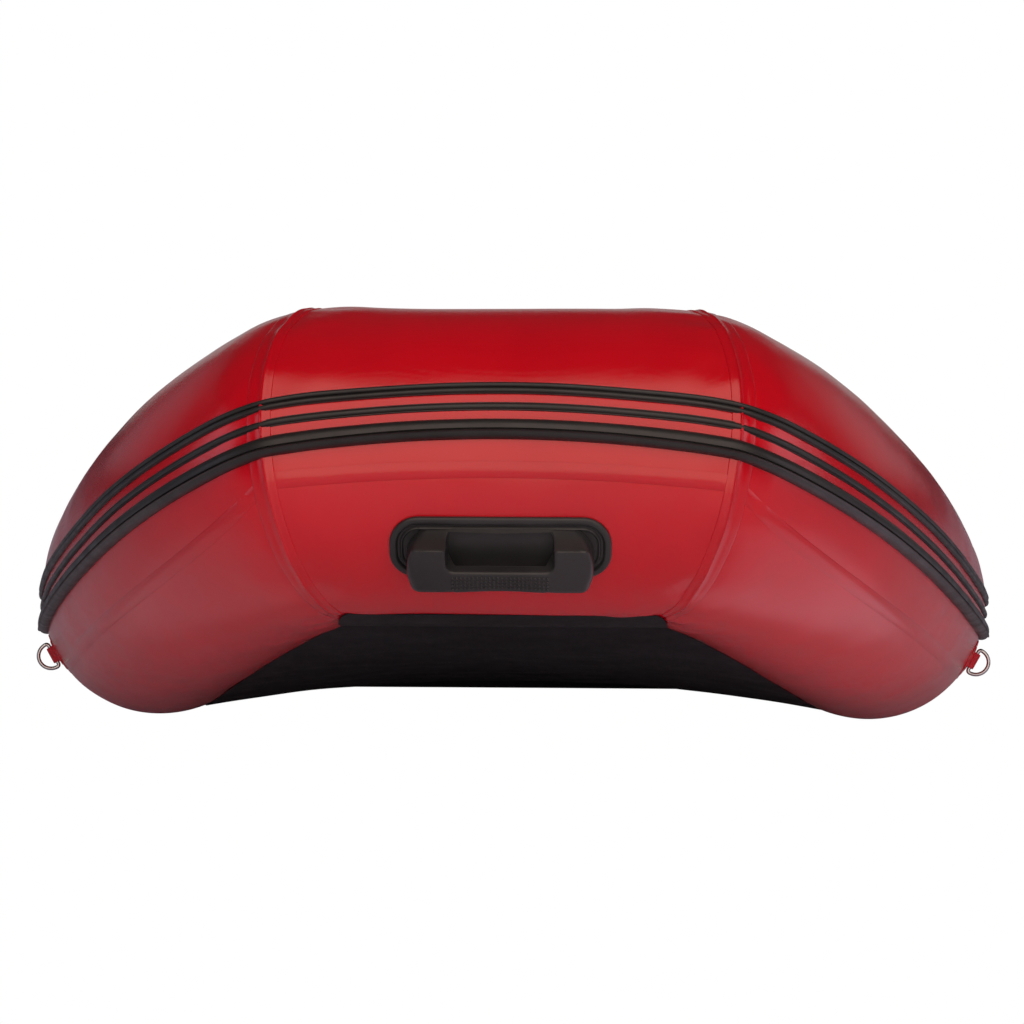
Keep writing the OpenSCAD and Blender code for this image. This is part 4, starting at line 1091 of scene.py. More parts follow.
def bow_grip(name):
    """Rows from the outer foot up over the face, down into the pocket and back across the underside."""
    outer = cornered_ring(filleted(GRIP_OUTLINE, 0.030, 14), GRIP_CORNERS)
    pocket = cornered_ring(filleted(POCKET_CORNERS, 0.0105, 12), POCKET_CORNERS)
    outer[:, 1] += bar_arch(outer[:, 0]) * (outer[:, 1] < -0.02)
    n_out, n_in = inward(outer), -inward(pocket)
    soft = mix(0.0045, 0.0100, smooth((0.004 - outer[:, 1]) / 0.030))
    rows = []

    def add(p, height):
        rows.append(np.column_stack([p, height]))

    def thick(p):
        return grip_top(p) - grip_under(p)

    for a in np.radians(np.linspace(0, 90, 5)):
        r = np.minimum(GRIP_FOOT_R, 0.3 * thick(outer))
        add(outer + n_out * (r * (1 - np.sin(a)))[:, None], grip_under(outer) + r * (1 - np.cos(a)))
    r = np.minimum(soft, 0.55 * thick(outer))
    for a in np.radians(np.linspace(0, 90, 9)):
        p = outer + n_out * (GRIP_FLARE + r * (1 - np.cos(a)))[:, None]
        add(p, grip_top(p) - r * (1 - np.sin(a)))
    start = outer + n_out * (GRIP_FLARE + r)[:, None]
    lip = np.minimum(POCKET_LIP_R, 0.35 * thick(pocket))
    end = pocket + n_in * lip[:, None]
    for f in np.linspace(0, 1, 18)[1:-1]:
        p = mix(start, end, f)
        add(p, grip_top(p))
    for a in np.radians(np.linspace(0, 90, 6)):
        p = pocket + n_in * (lip * (1 - np.sin(a)))[:, None]
        add(p, grip_top(p) - lip * (1 - np.cos(a)))
    foot = pocket - n_in * GRIP_FLARE
    for a in np.radians(np.linspace(0, 90, 5)):
        r = np.minimum(GRIP_FOOT_R, 0.3 * thick(pocket))
        add(foot + n_in * (r * (1 - np.cos(a)))[:, None], grip_under(pocket) + r * (1 - np.sin(a)))
    under_in, under_out = rows[-1][:, :2], rows[0][:, :2]
    for f in np.linspace(0, 1, 10)[1:-1]:
        p = mix(under_in, under_out, f)
        add(p, grip_under(p))
    return swept(name, np.array(rows), wrap_rows=True)


# Small raised dots on the bar's face; the lower rows follow its lower edge more closely
DOT_ROWS, DOT_COLS = 4, 24
DOT_STEP, DOT_ROW_STEP, DOT_FIRST_ROW = 0.0047, 0.0048, -0.0168
DOT_PROFILE = [(0.0018, 0), (0.0016, 0.0007), (0.0011, 0.0013), (0.0004, 0.0015)]
DOT_SINK = 0.0003
dots = []
for i in range(DOT_ROWS):
    for j in range(DOT_COLS):
        a = (j - (DOT_COLS - 1) / 2) * DOT_STEP
        b = DOT_FIRST_ROW - i * DOT_ROW_STEP + (0.15 + 0.28 * i) * float(bar_arch(a))
        dots.append(shifted(lathe("dot", DOT_PROFILE, 10), a, b, GRIP_OUT - DOT_SINK))
dots = joined("bow_grip_dots", dots)
piece(bend_to_bow(bow_grip("bow_grip")), GRIP_RUBBER, "black_rubber", "hull", "bow_handle_grip")
piece(bend_to_bow(dots), GRIP_RUBBER, "black_rubber", "hull")

# ---- Tow rings ----
RING_AT = 0.78
RING_DEG = -27.0
RING_WIRE_R = 0.0030
RING_W = 0.040
RING_LEG = 0.004
RING_CORNER = 0.004
PATCH_R = 0.032
PATCH_T = 0.0015
PATCH_TOP = TUBE_R + GLUE_GAP + PATCH_T
DISC_R, DISC_T = 0.0215, 0.001  # the smaller disc on the patch
RING_AXIS_Z = PATCH_TOP + 0.0046
STRAP_T = 0.0028
ring_t = dir_at(RING_AT)
ring_z = girth_dir(ring_t, np.array(RING_DEG))
ring_x = girth_dir(ring_t, np.array(RING_DEG + 90.0))
ring_y = np.cross(ring_z, ring_x)
TOW_RING = basis(axis_at(RING_AT), ring_x, ring_y, ring_z)


def on_cylinder(points, skin_r):
    """Lifts flat (x, y, height) points onto a tube of radius skin_r that runs along local Y."""
    points = np.asarray(points, float)
    a = points[..., 0] / skin_r
    rho = skin_r + points[..., 2]
    return np.stack([rho * np.sin(a), points[..., 1], rho * np.cos(a)], -1)


def glued_disc(name, radius, thickness, skin_r, steps=72):
    """A round patch on a tube, with a thin pressed rim and its own slight unevenness."""
    a = np.linspace(0, 2 * np.pi, steps, endpoint=False)
    rows = []
    for share, height in ((1.0, -0.0006), (1.0, 0.35), (0.985, 0.75), (0.96, 0.95), (0.9, 1.0),
                          (0.7, 1.0), (0.45, 1.02), (0.2, 1.03), (0.03, 1.03)):
        h = height * thickness if height > 0 else height
        r = share * radius
        rows.append(np.stack([r * np.cos(a), r * np.sin(a), np.full(steps, h)], -1))
    return swept(name, on_cylinder(np.array(rows), skin_r), smooth_angle=50)


def ring_strap(name):
    """Webbing folded over the ring's bar and welded down on both sides of it."""
    half_w = (RING_W - 2 * RING_WIRE_R - 0.008) / 2
    fold_r = RING_WIRE_R + 0.0002 + STRAP_T
    seat = PATCH_TOP - 0.0004
    foot = [(0.0095, seat + 0.0026), (0.018, seat + 0.0022), (0.019, seat)]
    fold = [(-fold_r * math.cos(a), RING_AXIS_Z + fold_r * math.sin(a))
            for a in np.linspace(0.1, math.pi - 0.1, 14)]
    section = np.array([(-y, z) for y, z in foot[::-1]] + fold + foot)
    rows = []
    for x in np.linspace(-half_w, half_w, 12):
        edge = 0.0005 * (1 if abs(x) > half_w * 0.95 else 0)
        rows.append(np.column_stack([np.full(len(section), x), section[:, 0], section[:, 1] - edge]))
    return swept(name, np.array(rows), smooth_angle=45)


def ring_path():
    """Middle line of the ring's wire: a straight bar, two corners and a half round."""
    half, corner = RING_W / 2, RING_CORNER
    points = [(x, 0.0) for x in np.linspace(-half + corner, half - corner, 12)]
    points += [(half - corner + corner * math.sin(a), corner - corner * math.cos(a))
               for a in np.linspace(0.2, math.pi / 2, 6)]
    points += [(half * math.cos(a), RING_LEG + half * math.sin(a)) for a in np.linspace(0, math.pi, 40)]
    points += [(-half + corner - corner * math.cos(a), corner - corner * math.sin(a))
               for a in np.linspace(0, math.pi / 2 - 0.2, 6)]
    return np.array([(x, 0, RING_AXIS_Z + z) for x, z in points])


base = glued_disc("disc", PATCH_R, PATCH_T, TUBE_R + GLUE_GAP)
second = glued_disc("disc2", DISC_R, DISC_T, PATCH_TOP)
patch = moved(joined("patch", [base, second, ring_strap("strap")]), TOW_RING)
both_sides(patch, RED_TAPE, "red_fabric", "hull", "{side}_ring_patch_fabric", "ring_patch")
ring = moved(pipe("ring", ring_path(), RING_WIRE_R, 20, closed=True), TOW_RING)
both_sides(ring, STEEL, "stainless", "{side}_tow_ring", "{side}_tow_ring_wire", "tow_ring")

# ---- Stern caps and baffles ----
TIP = CONE_TIP_R
cap = lathe("cap", [
    (0.0002, -0.0130), (TIP - 0.004, -0.0130), (TIP + 0.0040, -0.0128), (TIP + 0.0050, -0.0118),
    (TIP + 0.0050, -0.0078), (TIP + 0.0044, -0.0064), (TIP + 0.0034, -0.0050), (TIP + 0.0016, -0.0030),
    (TIP - 0.0012, -0.0012), (TIP - 0.0050, -0.0002), (TIP - 0.0080, 0.0), (0.050, 0.0), (0.049, -0.0008),
    (0.046, -0.0008), (0.045, 0.0), (0.030, 0.0), (0.029, -0.0008), (0.026, -0.0008), (0.025, 0.0),
    (0.0002, 0.0)], 96)
moved(cap, Matrix.Translation((SIDE_X, STERN_Y, SIDE_Z)) @ Z_TO_Y)
both_sides(cap, PAD_RUBBER, "black_rubber", "hull", "{side}_stern_cap_moulding", "stern_cap")

BAFFLE_R = TUBE_R - FABRIC - GLUE_GAP - 0.0006
BAFFLE_DEPTH = 0.060
BAFFLE_HEM = 0.020
baffle_cone = [(r, BAFFLE_DEPTH * (1 - r / BAFFLE_R) ** 1.15 + 0.002)
               for r in np.linspace(0.02, BAFFLE_R - 0.003, 16)]
baffle_loop = [(0.0002, BAFFLE_DEPTH)] + baffle_cone
baffle_loop += [(BAFFLE_R - FABRIC, 0.006), (BAFFLE_R - FABRIC, BAFFLE_HEM), (BAFFLE_R, BAFFLE_HEM),
                (BAFFLE_R, 0.001)]
baffle_loop += [(r, h - FABRIC) for r, h in baffle_cone[::-1]] + [(0.0002, BAFFLE_DEPTH - FABRIC)]
baffle = lathe("baffle", baffle_loop, hollow=True)
moved(baffle, Matrix.Translation((SIDE_X, CURVE_END_Y + 0.030, SIDE_Z)) @ Z_TO_Y)
both_sides(baffle, SHEET_FABRIC, "black_fabric", "hull", "{side}_baffle_cone", "baffle")

# ---- Air deck ----
deck_low, deck_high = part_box("air_deck")
DECK_W, DECK_L = deck_high.x - deck_low.x, deck_high.y - deck_low.y
DECK_MID_Y = (deck_high.y + deck_low.y) / 2
DECK_CORNER = 0.110
DECK_EDGE_R = (deck_high.z - deck_low.z) / 2
deck_mid_z = (deck_high.z + deck_low.z) / 2
TAPE_IN = 0.058  # how far the side tape comes in over the deck
DECK_DRILL_DEPTH = 0.040
DECK_RIPPLE = 0.012  # shallow grooves along the side, as a share of its radius
deck_rings = []
for a in np.radians(np.linspace(-90, 90, 33)):
    swell = 1 - DECK_RIPPLE * (1 + math.cos(8 * a)) * math.cos(a)
    deck_rings.append((DECK_EDGE_R * (1 - math.cos(a) * swell), DECK_EDGE_R * math.sin(a)))
low_ring = (TAPE_IN, -DECK_EDGE_R + 0.0001)
top_rings = [(TAPE_IN - 0.001, DECK_EDGE_R), (TAPE_IN, DECK_EDGE_R - 0.0009), (0.075, DECK_EDGE_R - 0.0010),
             (0.100, DECK_EDGE_R - 0.0012), (0.107, DECK_EDGE_R - 0.0012)]
deck_loops = []
for inset, height in [low_ring] + deck_rings + top_rings:
    corner = max(DECK_CORNER - inset, 0.002)
    loop = rounded_outline(DECK_W - 2 * inset, DECK_L - 2 * inset, corner, 16)
    deck_loops.append((loop + np.array([0, DECK_MID_Y]), deck_mid_z + height))
deck = ring_loft("deck_skin", deck_loops)
valve_x, valve_y, _ = box_middle("deck_valve_cap")
drill = lathe("deck_drill", [(VALVE_HOLE_R, deck_high.z - DECK_DRILL_DEPTH),
                             (VALVE_HOLE_R, deck_high.z + 0.03)], 40)
tidy_mesh(cut(deck, [shifted(drill, valve_x, valve_y, 0)]), 45)
piece(deck, [DECK_TOP, DECK_EDGE], "deck_fabric", "hull", "air_deck")


def outside_top_panel(face):
    """Whether a face of the deck is on the side tape's darker fabric."""
    x, y, z = face.center
    past_x = max(0.0, abs(x) - (DECK_W / 2 - DECK_CORNER))
    past_y = max(0.0, abs(y - DECK_MID_Y) - (DECK_L / 2 - DECK_CORNER))
    return math.hypot(past_x, past_y) > DECK_CORNER - TAPE_IN - 0.0004 or z < deck_mid_z


edged(deck, outside_top_panel)


# ---- Transom ----
def upright(obj, y):
    """A slab made flat in (x, z, depth) is stood up across the boat with its depth astern of y."""
    stand = Matrix(((1, 0, 0, 0), (0, 0, 1, y), (0, 1, 0, 0), (0, 0, 0, 1)))
    obj.data.transform(stand)
    return tidy_mesh(obj, 40)


HOLDER_WALL = 0.005
BOARD_R = TUBE_R + GLUE_GAP + HOLDER_WALL + 0.0003  # where the board's ends stop
HOLDER_R = BOARD_R + 0.011
TRANSOM_H = transom_high.z
MOTOR_H = 0.381
MOTOR_W = 0.300
SHOULDER = 0.040
AFT_FACE = TRANSOM_Y + TRANSOM_T / 2
FRONT_FACE = TRANSOM_Y - TRANSOM_T / 2
board_half = SIDE_X - BOARD_R * math.cos(math.radians(65))
span = math.degrees(math.acos((SIDE_X - board_half) / BOARD_R))
arc = [(SIDE_X - BOARD_R * math.cos(math.radians(a)), SIDE_Z - BOARD_R * math.sin(math.radians(a)))
       for a in np.linspace(span, -span, 60)]
half_outline = [(board_half, transom_low.z)] + arc + [
    (board_half, TRANSOM_H), (MOTOR_W / 2 + SHOULDER, TRANSOM_H), (MOTOR_W / 2, MOTOR_H)]
other_half = [(-x, z) for x, z in half_outline[::-1]]
board_outline = other_half[-1:] + half_outline + other_half[:-1]
board = slab("board", filleted(board_outline, 0.010), 0, TRANSOM_T, 0.0025)
upright(board, FRONT_FACE)
DRAIN_X, DRAIN_Z, DRAIN_R = 0.180, 0.100, 0.012
DRAIN_NECK_T = 0.003
EYE_X, EYE_Z, EYE_HALF = 0.250, 0.250, 0.018
STUD_R = 0.003
BOLT_HOLE_R = 0.0031
DRILL_REACH = 0.05


def along_y(name, x, z, y0, y1, r, steps=32):
    """A round bar or a drill along Y."""
    return shifted(sections(name, [(y0, r), (y1, r)], steps), x, 0, z)


def board_drill(x, z, r, steps=32):
    return along_y("drill", x, z, TRANSOM_Y - DRILL_REACH, TRANSOM_Y + DRILL_REACH, r, steps)


drills = [board_drill(DRAIN_X, DRAIN_Z, DRAIN_R + DRAIN_NECK_T + 0.0001, 48)]
drills += [board_drill(s * EYE_X + t * EYE_HALF, EYE_Z, BOLT_HOLE_R) for s in (-1, 1) for t in (-1, 1)]
tidy_mesh(cut(board, drills), 40)
piece(board, [BOARD, BOARD_EDGE], "grey_board", "hull", "transom_board")
edged(board, lambda face: abs(face.normal.y) < 0.5)

# Rubber holders that carry the board's ends: half a section, from its foot up to the board
HOLDER_FROM, HOLDER_TO = 122, 243
HOLDER_END = 2.2  # degrees over which each end thins out
HOLDER_SEAT_R = TUBE_R + 0.0004
HOLDER_SECTION = [
    (-0.0330, TUBE_R + 0.0004), (-0.0330, TUBE_R + 0.0016), (-0.0318, TUBE_R + 0.0034),
    (-0.0290, TUBE_R + 0.0060), (-0.0235, TUBE_R + 0.0105), (-0.0200, TUBE_R + 0.0145),
    (-0.0180, HOLDER_R - 0.0010), (-0.0168, HOLDER_R), (-0.0138, HOLDER_R), (-0.0129, HOLDER_R - 0.0010),
    (-0.0128, BOARD_R - 0.0003)]
HOLDER_SECTION += [(-y, r) for y, r in HOLDER_SECTION[::-1]]
holder_section = np.array(HOLDER_SECTION)
holder_rows = []
for a in np.linspace(HOLDER_FROM, HOLDER_TO, 110):
    from_end = min(a - HOLDER_FROM, HOLDER_TO - a)
    ease = math.sqrt(1 - (1 - min(1, from_end / HOLDER_END)) ** 2)
    heights = HOLDER_SEAT_R + (holder_section[:, 1] - HOLDER_SEAT_R) * mix(0.35, 1, ease)
    holder_rows.append(side_pt(TRANSOM_Y + holder_section[:, 0], a, heights))
holder = swept("holder", np.array(holder_rows), smooth_angle=38)
both_sides(holder, PAD_RUBBER, "black_rubber", "hull", "{side}_transom_holder_moulding", "transom_holder")

# Motor pads, one each side of the board, and their sunk screws
PAD_TOP = MOTOR_H - 0.006
SCREW_IN = 0.015
SCREW_HOLE_R = 0.0053
PAD_FRAME = 0.028
RIB_PITCH = 0.0085
RIB_RISE = 0.0014  # height of the ribs over the pad's base


def screw_places(width, height):
    return [(sx * (width / 2 - SCREW_IN), PAD_TOP - dz)
            for sx in (-1, 1) for dz in (SCREW_IN, height - SCREW_IN)]


def motor_pad(name, width, height, thick, face_aft):
    """A ribbed pad, glued on one face of the board."""
    middle_z = PAD_TOP - height / 2
    outline = rounded_outline(width, height, 0.012) + np.array([0, middle_z])
    parts = [slab("base", outline, 0, thick - RIB_RISE, 0.0010)]
    ribbed = height - 2 * PAD_FRAME
    ribs = int(ribbed / RIB_PITCH)
    raised = [(0, PAD_TOP - PAD_FRAME - k * ribbed / ribs, width - 2 * PAD_FRAME, 0.0042, 0.002)
              for k in range(ribs + 1)]
    raised += [(sx * (width / 2 - 0.006), middle_z, 0.006, height - 0.008, 0.0029) for sx in (-1, 1)]
    for x, z, w, h, corner in raised:
        bar = rounded_outline(w, h, corner, 4) + np.array([x, z])
        parts.append(slab("rib", bar, thick - 0.002, thick, 0.0008, 2))
    pad = joined(name, parts)
    if face_aft:
        back = AFT_FACE + GLUE_GAP
        face = back + thick
    else:
        pad.data.transform(Matrix.Diagonal((1, 1, -1, 1)))
        back = FRONT_FACE - GLUE_GAP
        face = back - thick
    upright(pad, back)
    drills = [along_y("drill", x, z, face - 0.0035, face + 0.0035, SCREW_HOLE_R)
              for x, z in screw_places(width, height)]
    return tidy_mesh(cut(pad, drills), 40)


OUTER_PAD = (0.280, 0.210, 0.005)  # width, height and thickness
INNER_PAD = (0.280, 0.110, 0.008)
for label, size in (("outer", OUTER_PAD), ("inner", INNER_PAD)):
    piece(motor_pad(f"{label}_pad_moulding", *size, label == "outer"), PAD_RUBBER, "black_rubber", "hull",
          f"{label}_motor_pad")


def socket_screw(top):
    """A countersunk screw with a hexagon socket; top is the height of its face."""
    body = lathe("screw", [(0.0025, -0.009), (0.0025, top - 0.0030), (0.0046, top - 0.0026),
                           (0.0049, top - 0.0016), (0.0047, top - 0.0006), (0.0040, top - 0.0001),
                           (0.0030, top)], 32)
    key = lathe("key", [(0.0016, top - 0.0018), (0.0016, top + 0.002)], 6)
    return cut(body, [key])


screws = []
for size, sign in ((OUTER_PAD, 1), (INNER_PAD, -1)):
    for x, z in screw_places(size[0], size[1]):
        face = Matrix.Translation((x, TRANSOM_Y + sign * TRANSOM_T / 2, z))
        screws.append(moved(socket_screw(size[2]), face @ turned(-90 * sign, "X")))
screws = tidy_mesh(joined("pad_screws", screws), 40)
piece(screws, STEEL, "stainless", "hull", "motor_pad_screws")

# Towing eyes, welded to studs through the board, and their washers and nuts
EYE_FACE = AFT_FACE + GLUE_GAP
NUT_FACE = FRONT_FACE - GLUE_GAP
EYE_BAR_R = 0.004
NUT_BORE_R = 0.00315
WASHER = [(NUT_BORE_R, 0), (0.0085, 0), (0.0085, 0.0012), (0.0082, 0.0015), (NUT_BORE_R, 0.0015)]
NUT = [(NUT_BORE_R, 0.0015), (0.0055, 0.0015), (0.0055, 0.0044), (0.0049, 0.0050), (NUT_BORE_R, 0.0050)]
WELD = [(EYE_FACE + 0.0028, 0.0062), (EYE_FACE + 0.0036, 0.0056), (EYE_FACE + 0.0052, 0.0043)]
eyes, nuts = [], []
for s in (-1, 1):
    plate = slab("plate", rounded_outline(2 * EYE_HALF + 0.022, 0.022, 0.008), 0, 0.003, 0.0008)
    eyes.append(shifted(upright(plate, EYE_FACE), s * EYE_X, 0, EYE_Z))
    a = np.linspace(0, math.pi, 40)
    bail = np.stack([EYE_HALF * np.cos(a), 0.0024 + EYE_HALF * np.sin(a), 0 * a], -1)
    bail = np.vstack([[EYE_HALF, 0.001, 0], bail, [-EYE_HALF, 0.001, 0]])
    eyes.append(pipe("bail", bail + np.array([s * EYE_X, EYE_FACE, EYE_Z]), EYE_BAR_R, 20))
    for x in (s * EYE_X - EYE_HALF, s * EYE_X + EYE_HALF):
        stud_end = EYE_FACE + 0.001
        eyes.append(along_y("stud", x, EYE_Z, stud_end - TRANSOM_T - 0.011, stud_end, STUD_R))
        eyes.append(shifted(sections("weld", WELD), x, 0, EYE_Z))
        for part in (lathe("washer", WASHER, 40, hollow=True), lathe("nut", NUT, 6, 20, hollow=True)):
            nuts.append(moved(part, Matrix.Translation((x, NUT_FACE, EYE_Z)) @ turned(90, "X")))
piece(tidy_mesh(joined("tow_eye_bails", eyes), 40), STEEL, "stainless", "hull", "tow_eyes")
piece(tidy_mesh(joined("tow_eye_nut_set", nuts), 25), STEEL, "stainless", "hull", "tow_eye_nuts")

# ---- Drain ----
AT_DRAIN = Matrix.Translation((DRAIN_X, FRONT_FACE, DRAIN_Z)) @ turned(90, "X")
neck = DRAIN_R + DRAIN_NECK_T
flange = neck + 0.011
drain = lathe("drain", [
    (DRAIN_R, -TRANSOM_T - 0.012), (neck - 0.001, -TRANSOM_T - 0.012), (neck, -TRANSOM_T - 0.011),
    (neck, 0.0003), (flange, 0.0003), (flange, 0.0024), (flange - 0.0006, 0.0034), (flange - 0.002, 0.0042),
    (neck + 0.0035, 0.0043), (neck + 0.003, 0.0036), (neck + 0.001, 0.0036), (neck, 0.0043),
    (DRAIN_R + 0.001, 0.0043), (DRAIN_R, 0.0035)], 72, hollow=True)
piece(moved(drain, AT_DRAIN), PLASTIC, "black_plastic", "hull", "drain_body")
PLUG_TOP = 0.0046
plug_r = DRAIN_R - 0.0001
stopper = lathe("stopper", [
    (plug_r - 0.002, -TRANSOM_T + 0.004), (plug_r - 0.0005, -TRANSOM_T + 0.0055),
    (plug_r, -TRANSOM_T + 0.007), (plug_r, -0.012), (plug_r - 0.0007, -0.0112),
    (plug_r - 0.0007, -0.0098), (plug_r, -0.009), (plug_r, PLUG_TOP),
    (DRAIN_R + 0.0036, PLUG_TOP), (DRAIN_R + 0.004, PLUG_TOP + 0.0006), (DRAIN_R + 0.004, PLUG_TOP + 0.0038),
    (DRAIN_R + 0.0032, PLUG_TOP + 0.0048), (DRAIN_R, PLUG_TOP + 0.005), (0.006, PLUG_TOP + 0.0046)], 64)
tab_outline = filleted([(-0.009, 0.002), (0.009, 0.002), (0.0075, 0.0145), (-0.0075, 0.0145)], 0.004)
tab = slab("tab", tab_outline, -0.0025, 0.0025, 0.0010)
tab.data.transform(Matrix(((0, 0, 1, 0), (1, 0, 0, 0), (0, 1, 0, PLUG_TOP), (0, 0, 0, 1))))
plug = tidy_mesh(joined("drain_stopper", [stopper, tab]), 40)
piece(moved(plug, AT_DRAIN), PLASTIC, "black_plastic", "drain_plug", "drain_plug")

# ---- Thwart ----
rail_low, rail_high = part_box("port_thwart_rail")
RAIL_Y = (rail_low.y + rail_high.y) / 2
RAIL_LEN = rail_high.y - rail_low.y
RAIL_IN = 0.095
RAIL_X = SIDE_X - RAIL_IN
BEAD_Z = SIDE_Z + 0.188
BEAD_R = 0.005
WAIST_HALF = 0.002
RAIL_DEG = 180 - math.degrees(math.acos(RAIL_IN / TUBE_R))


def rail_outline():
    """Points round the rail's section in (x, z): a flange on the tube, a waist and a round bead."""
    def on_tube(*places):
        return [(SIDE_X + (TUBE_R + h) * math.cos(a), SIDE_Z + (TUBE_R + h) * math.sin(a))
                for a, h in ((math.radians(RAIL_DEG + d), h) for d, h in places)]

    foot_z = SIDE_Z + TUBE_R * math.sin(math.radians(RAIL_DEG)) + 0.004
    points = on_tube((-6, 0.0004), (6, 0.0004), (6, 0.0009), (5.2, 0.0018), (3, 0.0023), (1.2, 0.0034))
    points.append((RAIL_X - WAIST_HALF, foot_z + 0.002))
    points += [(RAIL_X + BEAD_R * math.cos(a), BEAD_Z + BEAD_R * math.sin(a))
               for a in np.radians(np.linspace(246, -66, 22))]
    points.append((RAIL_X + WAIST_HALF, foot_z + 0.0005))
    return np.array(points + on_tube((-1.2, 0.0030), (-3, 0.0023), (-5.2, 0.0018), (-6, 0.0009)))


rail_ring = rail_outline()
rail_centre = rail_ring.mean(0)
rail_rows = []
for f in (-0.5, -0.4995, -0.498, 0.498, 0.4995, 0.5):
    shrink = {0.5: 0.86, 0.4995: 0.96}.get(abs(f), 1.0)
    x, z = (rail_centre + (rail_ring - rail_centre) * shrink).T
    rail_rows.append(np.column_stack([x, np.full(len(x), RAIL_Y + f * RAIL_LEN), z]))
rail = swept("rail", np.array(rail_rows), smooth_angle=38)
both_sides(rail, PAD_RUBBER, "black_rubber", "hull", "{side}_thwart_rail_strip", "thwart_rail")

clip_low, clip_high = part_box("thwart_clips")
CLIP_W = 0.036
CLIP_L = clip_high.y - clip_low.y
CLIP_PLAY = 0.0003
slot_r, slot_half = BEAD_R + CLIP_PLAY, WAIST_HALF + CLIP_PLAY
lip_a = math.degrees(math.asin(slot_half / slot_r))
foot, top = clip_low.z - BEAD_Z, clip_high.z - BEAD_Z
# Round the clip's section, whose slot lets it slide on along the bead
clip_points = [(-CLIP_W / 2, foot), (-slot_half - 0.0012, foot), (-slot_half, foot + 0.0010)]
clip_points += [(slot_r * math.cos(a), slot_r * math.sin(a))
                for a in np.radians(np.linspace(270 - lip_a, -90 + lip_a, 26))]
clip_points += [(slot_half, foot + 0.0010), (slot_half + 0.0012, foot), (CLIP_W / 2, foot),
                (CLIP_W / 2, top), (-CLIP_W / 2, top)]
clip_points = np.array(clip_points)
rows = []
for f in (-0.5, 0.5):
    rows.append(np.column_stack([clip_points[:, 0] + RAIL_X, np.full(len(clip_points), RAIL_Y + f * CLIP_L),
                                 clip_points[:, 1] + BEAD_Z]))
clip = bevelled(swept("clip", np.array(rows), smooth_angle=30), 0.0014, 3, 50)
clips = tidy_mesh(joined("thwart_clip_pair", [clip, mirror_copy(clip, "clip_2")]), 45)
piece(clips, PLASTIC, "black_plastic", "thwart", "thwart_clips")

thwart_low, thwart_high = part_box("thwart_board")
seat_outline = rounded_outline(thwart_high.x - thwart_low.x, thwart_high.y - thwart_low.y, 0.022, 12)
seat = slab("thwart_plank", seat_outline + np.array([0, RAIL_Y]), thwart_low.z, thwart_high.z, 0.005, 5)
piece(seat, [BOARD, BOARD_EDGE], "grey_board", "thwart", "thwart_board")
edged(seat, lambda face: abs(face.normal.z) < 0.35)

# ---- Oarlocks ----
LOCK_Y = box_middle("port_oarlock_swivel")[1]
LOCK_DEG = 83
OAR_UP = 0.084
OAR_R = 0.016
SLEEVE_R = OAR_R + 0.003
EYE_R = SLEEVE_R + 0.008
EYE_L = 0.056
PIN_R = 0.006
ON_LOCK = on_side(LOCK_Y, LOCK_DEG)


SADDLE_FROM, SADDLE_TO = 0.006, 0.026  # heights between which its shape turns from the tube's to flat


def saddled(obj):
    """Sets a body made on a flat base (height 0) down on the tube, whose axis is local Y."""
    def shape(co):
        keep = 1 - smooth((co[:, 2] - SADDLE_FROM) / (SADDLE_TO - SADDLE_FROM))
        co[:, 2] += TUBE_R - keep * (TUBE_R - np.sqrt(np.maximum(0, TUBE_R**2 - co[:, 0] ** 2)))
        return co
    return reshaped(obj, shape, 38)


def rippled(count, depth, z_from, z_to):
    """Ribs up a turned side, between two heights."""
    def radius(angles, r, z):
        amount = depth if z_from < z < z_to else 0.0
        return r - amount * (0.5 - 0.5 * np.cos(count * angles)) ** 2
    return radius


lock_base = lathe("lock_base", [
    (0.052, 0.0004), (0.052, 0.0014), (0.0515, 0.0022), (0.0500, 0.0028), (0.0462, 0.0031),
    (0.0458, 0.0042), (0.0450, 0.0052), (0.0440, 0.0059), (0.0415, 0.0068), (0.0380, 0.0100),
    (0.0340, 0.0150), (0.0305, 0.0205), (0.0275, 0.0250), (0.0250, 0.0280), (0.0236, 0.0294),
    (0.0222, 0.0300), (0.0150, 0.0300), (0.0140, 0.0296), (0.0110, 0.0296), (PIN_R, 0.0299),
    (PIN_R, 0.0540), (PIN_R - 0.0006, 0.0556), (0.003, 0.0560)],
    96, radius_at=rippled(16, 0.0022, 0.0065, 0.0285))
moved(saddled(lock_base), ON_LOCK)
both_sides(lock_base, PAD_RUBBER, "black_rubber", "hull", "{side}_oarlock_boss", "oarlock_base")

column = lathe("column", [
    (0.0150, 0.0304), (0.0150, 0.0320), (0.0146, 0.0330), (0.0132, 0.0345), (0.0128, 0.0480),
    (0.0134, 0.0560), (0.0160, 0.0640), (0.0200, 0.0720), (0.0200, OAR_UP)], 48)
eye_rim = [(EYE_L / 2 - 0.006, EYE_R - 0.0012), (EYE_L / 2 - 0.003, EYE_R - 0.0002),
           (EYE_L / 2 - 0.0012, EYE_R - 0.0006), (EYE_L / 2 - 0.0006, EYE_R - 0.0014)]
eye = sections("eye", [(-y, r) for y, r in eye_rim[::-1]] + eye_rim, 64)
shifted(eye, 0, 0, OAR_UP)
swivel = melted(joined("swivel", [column, eye]), 0.0014, 4, 0.5)
pin_bore = lathe("bore", [(PIN_R + 0.0002, 0.02), (PIN_R + 0.0002, OAR_UP - SLEEVE_R - 0.006)], 32)
oar_bore = sections("bore2", [(-0.05, SLEEVE_R + 0.0002), (0.05, SLEEVE_R + 0.0002)], 64)
tidy_mesh(cut(swivel, [pin_bore, shifted(oar_bore, 0, 0, OAR_UP)]), 40)
moved(shifted(swivel, 0, 0, TUBE_R), ON_LOCK)
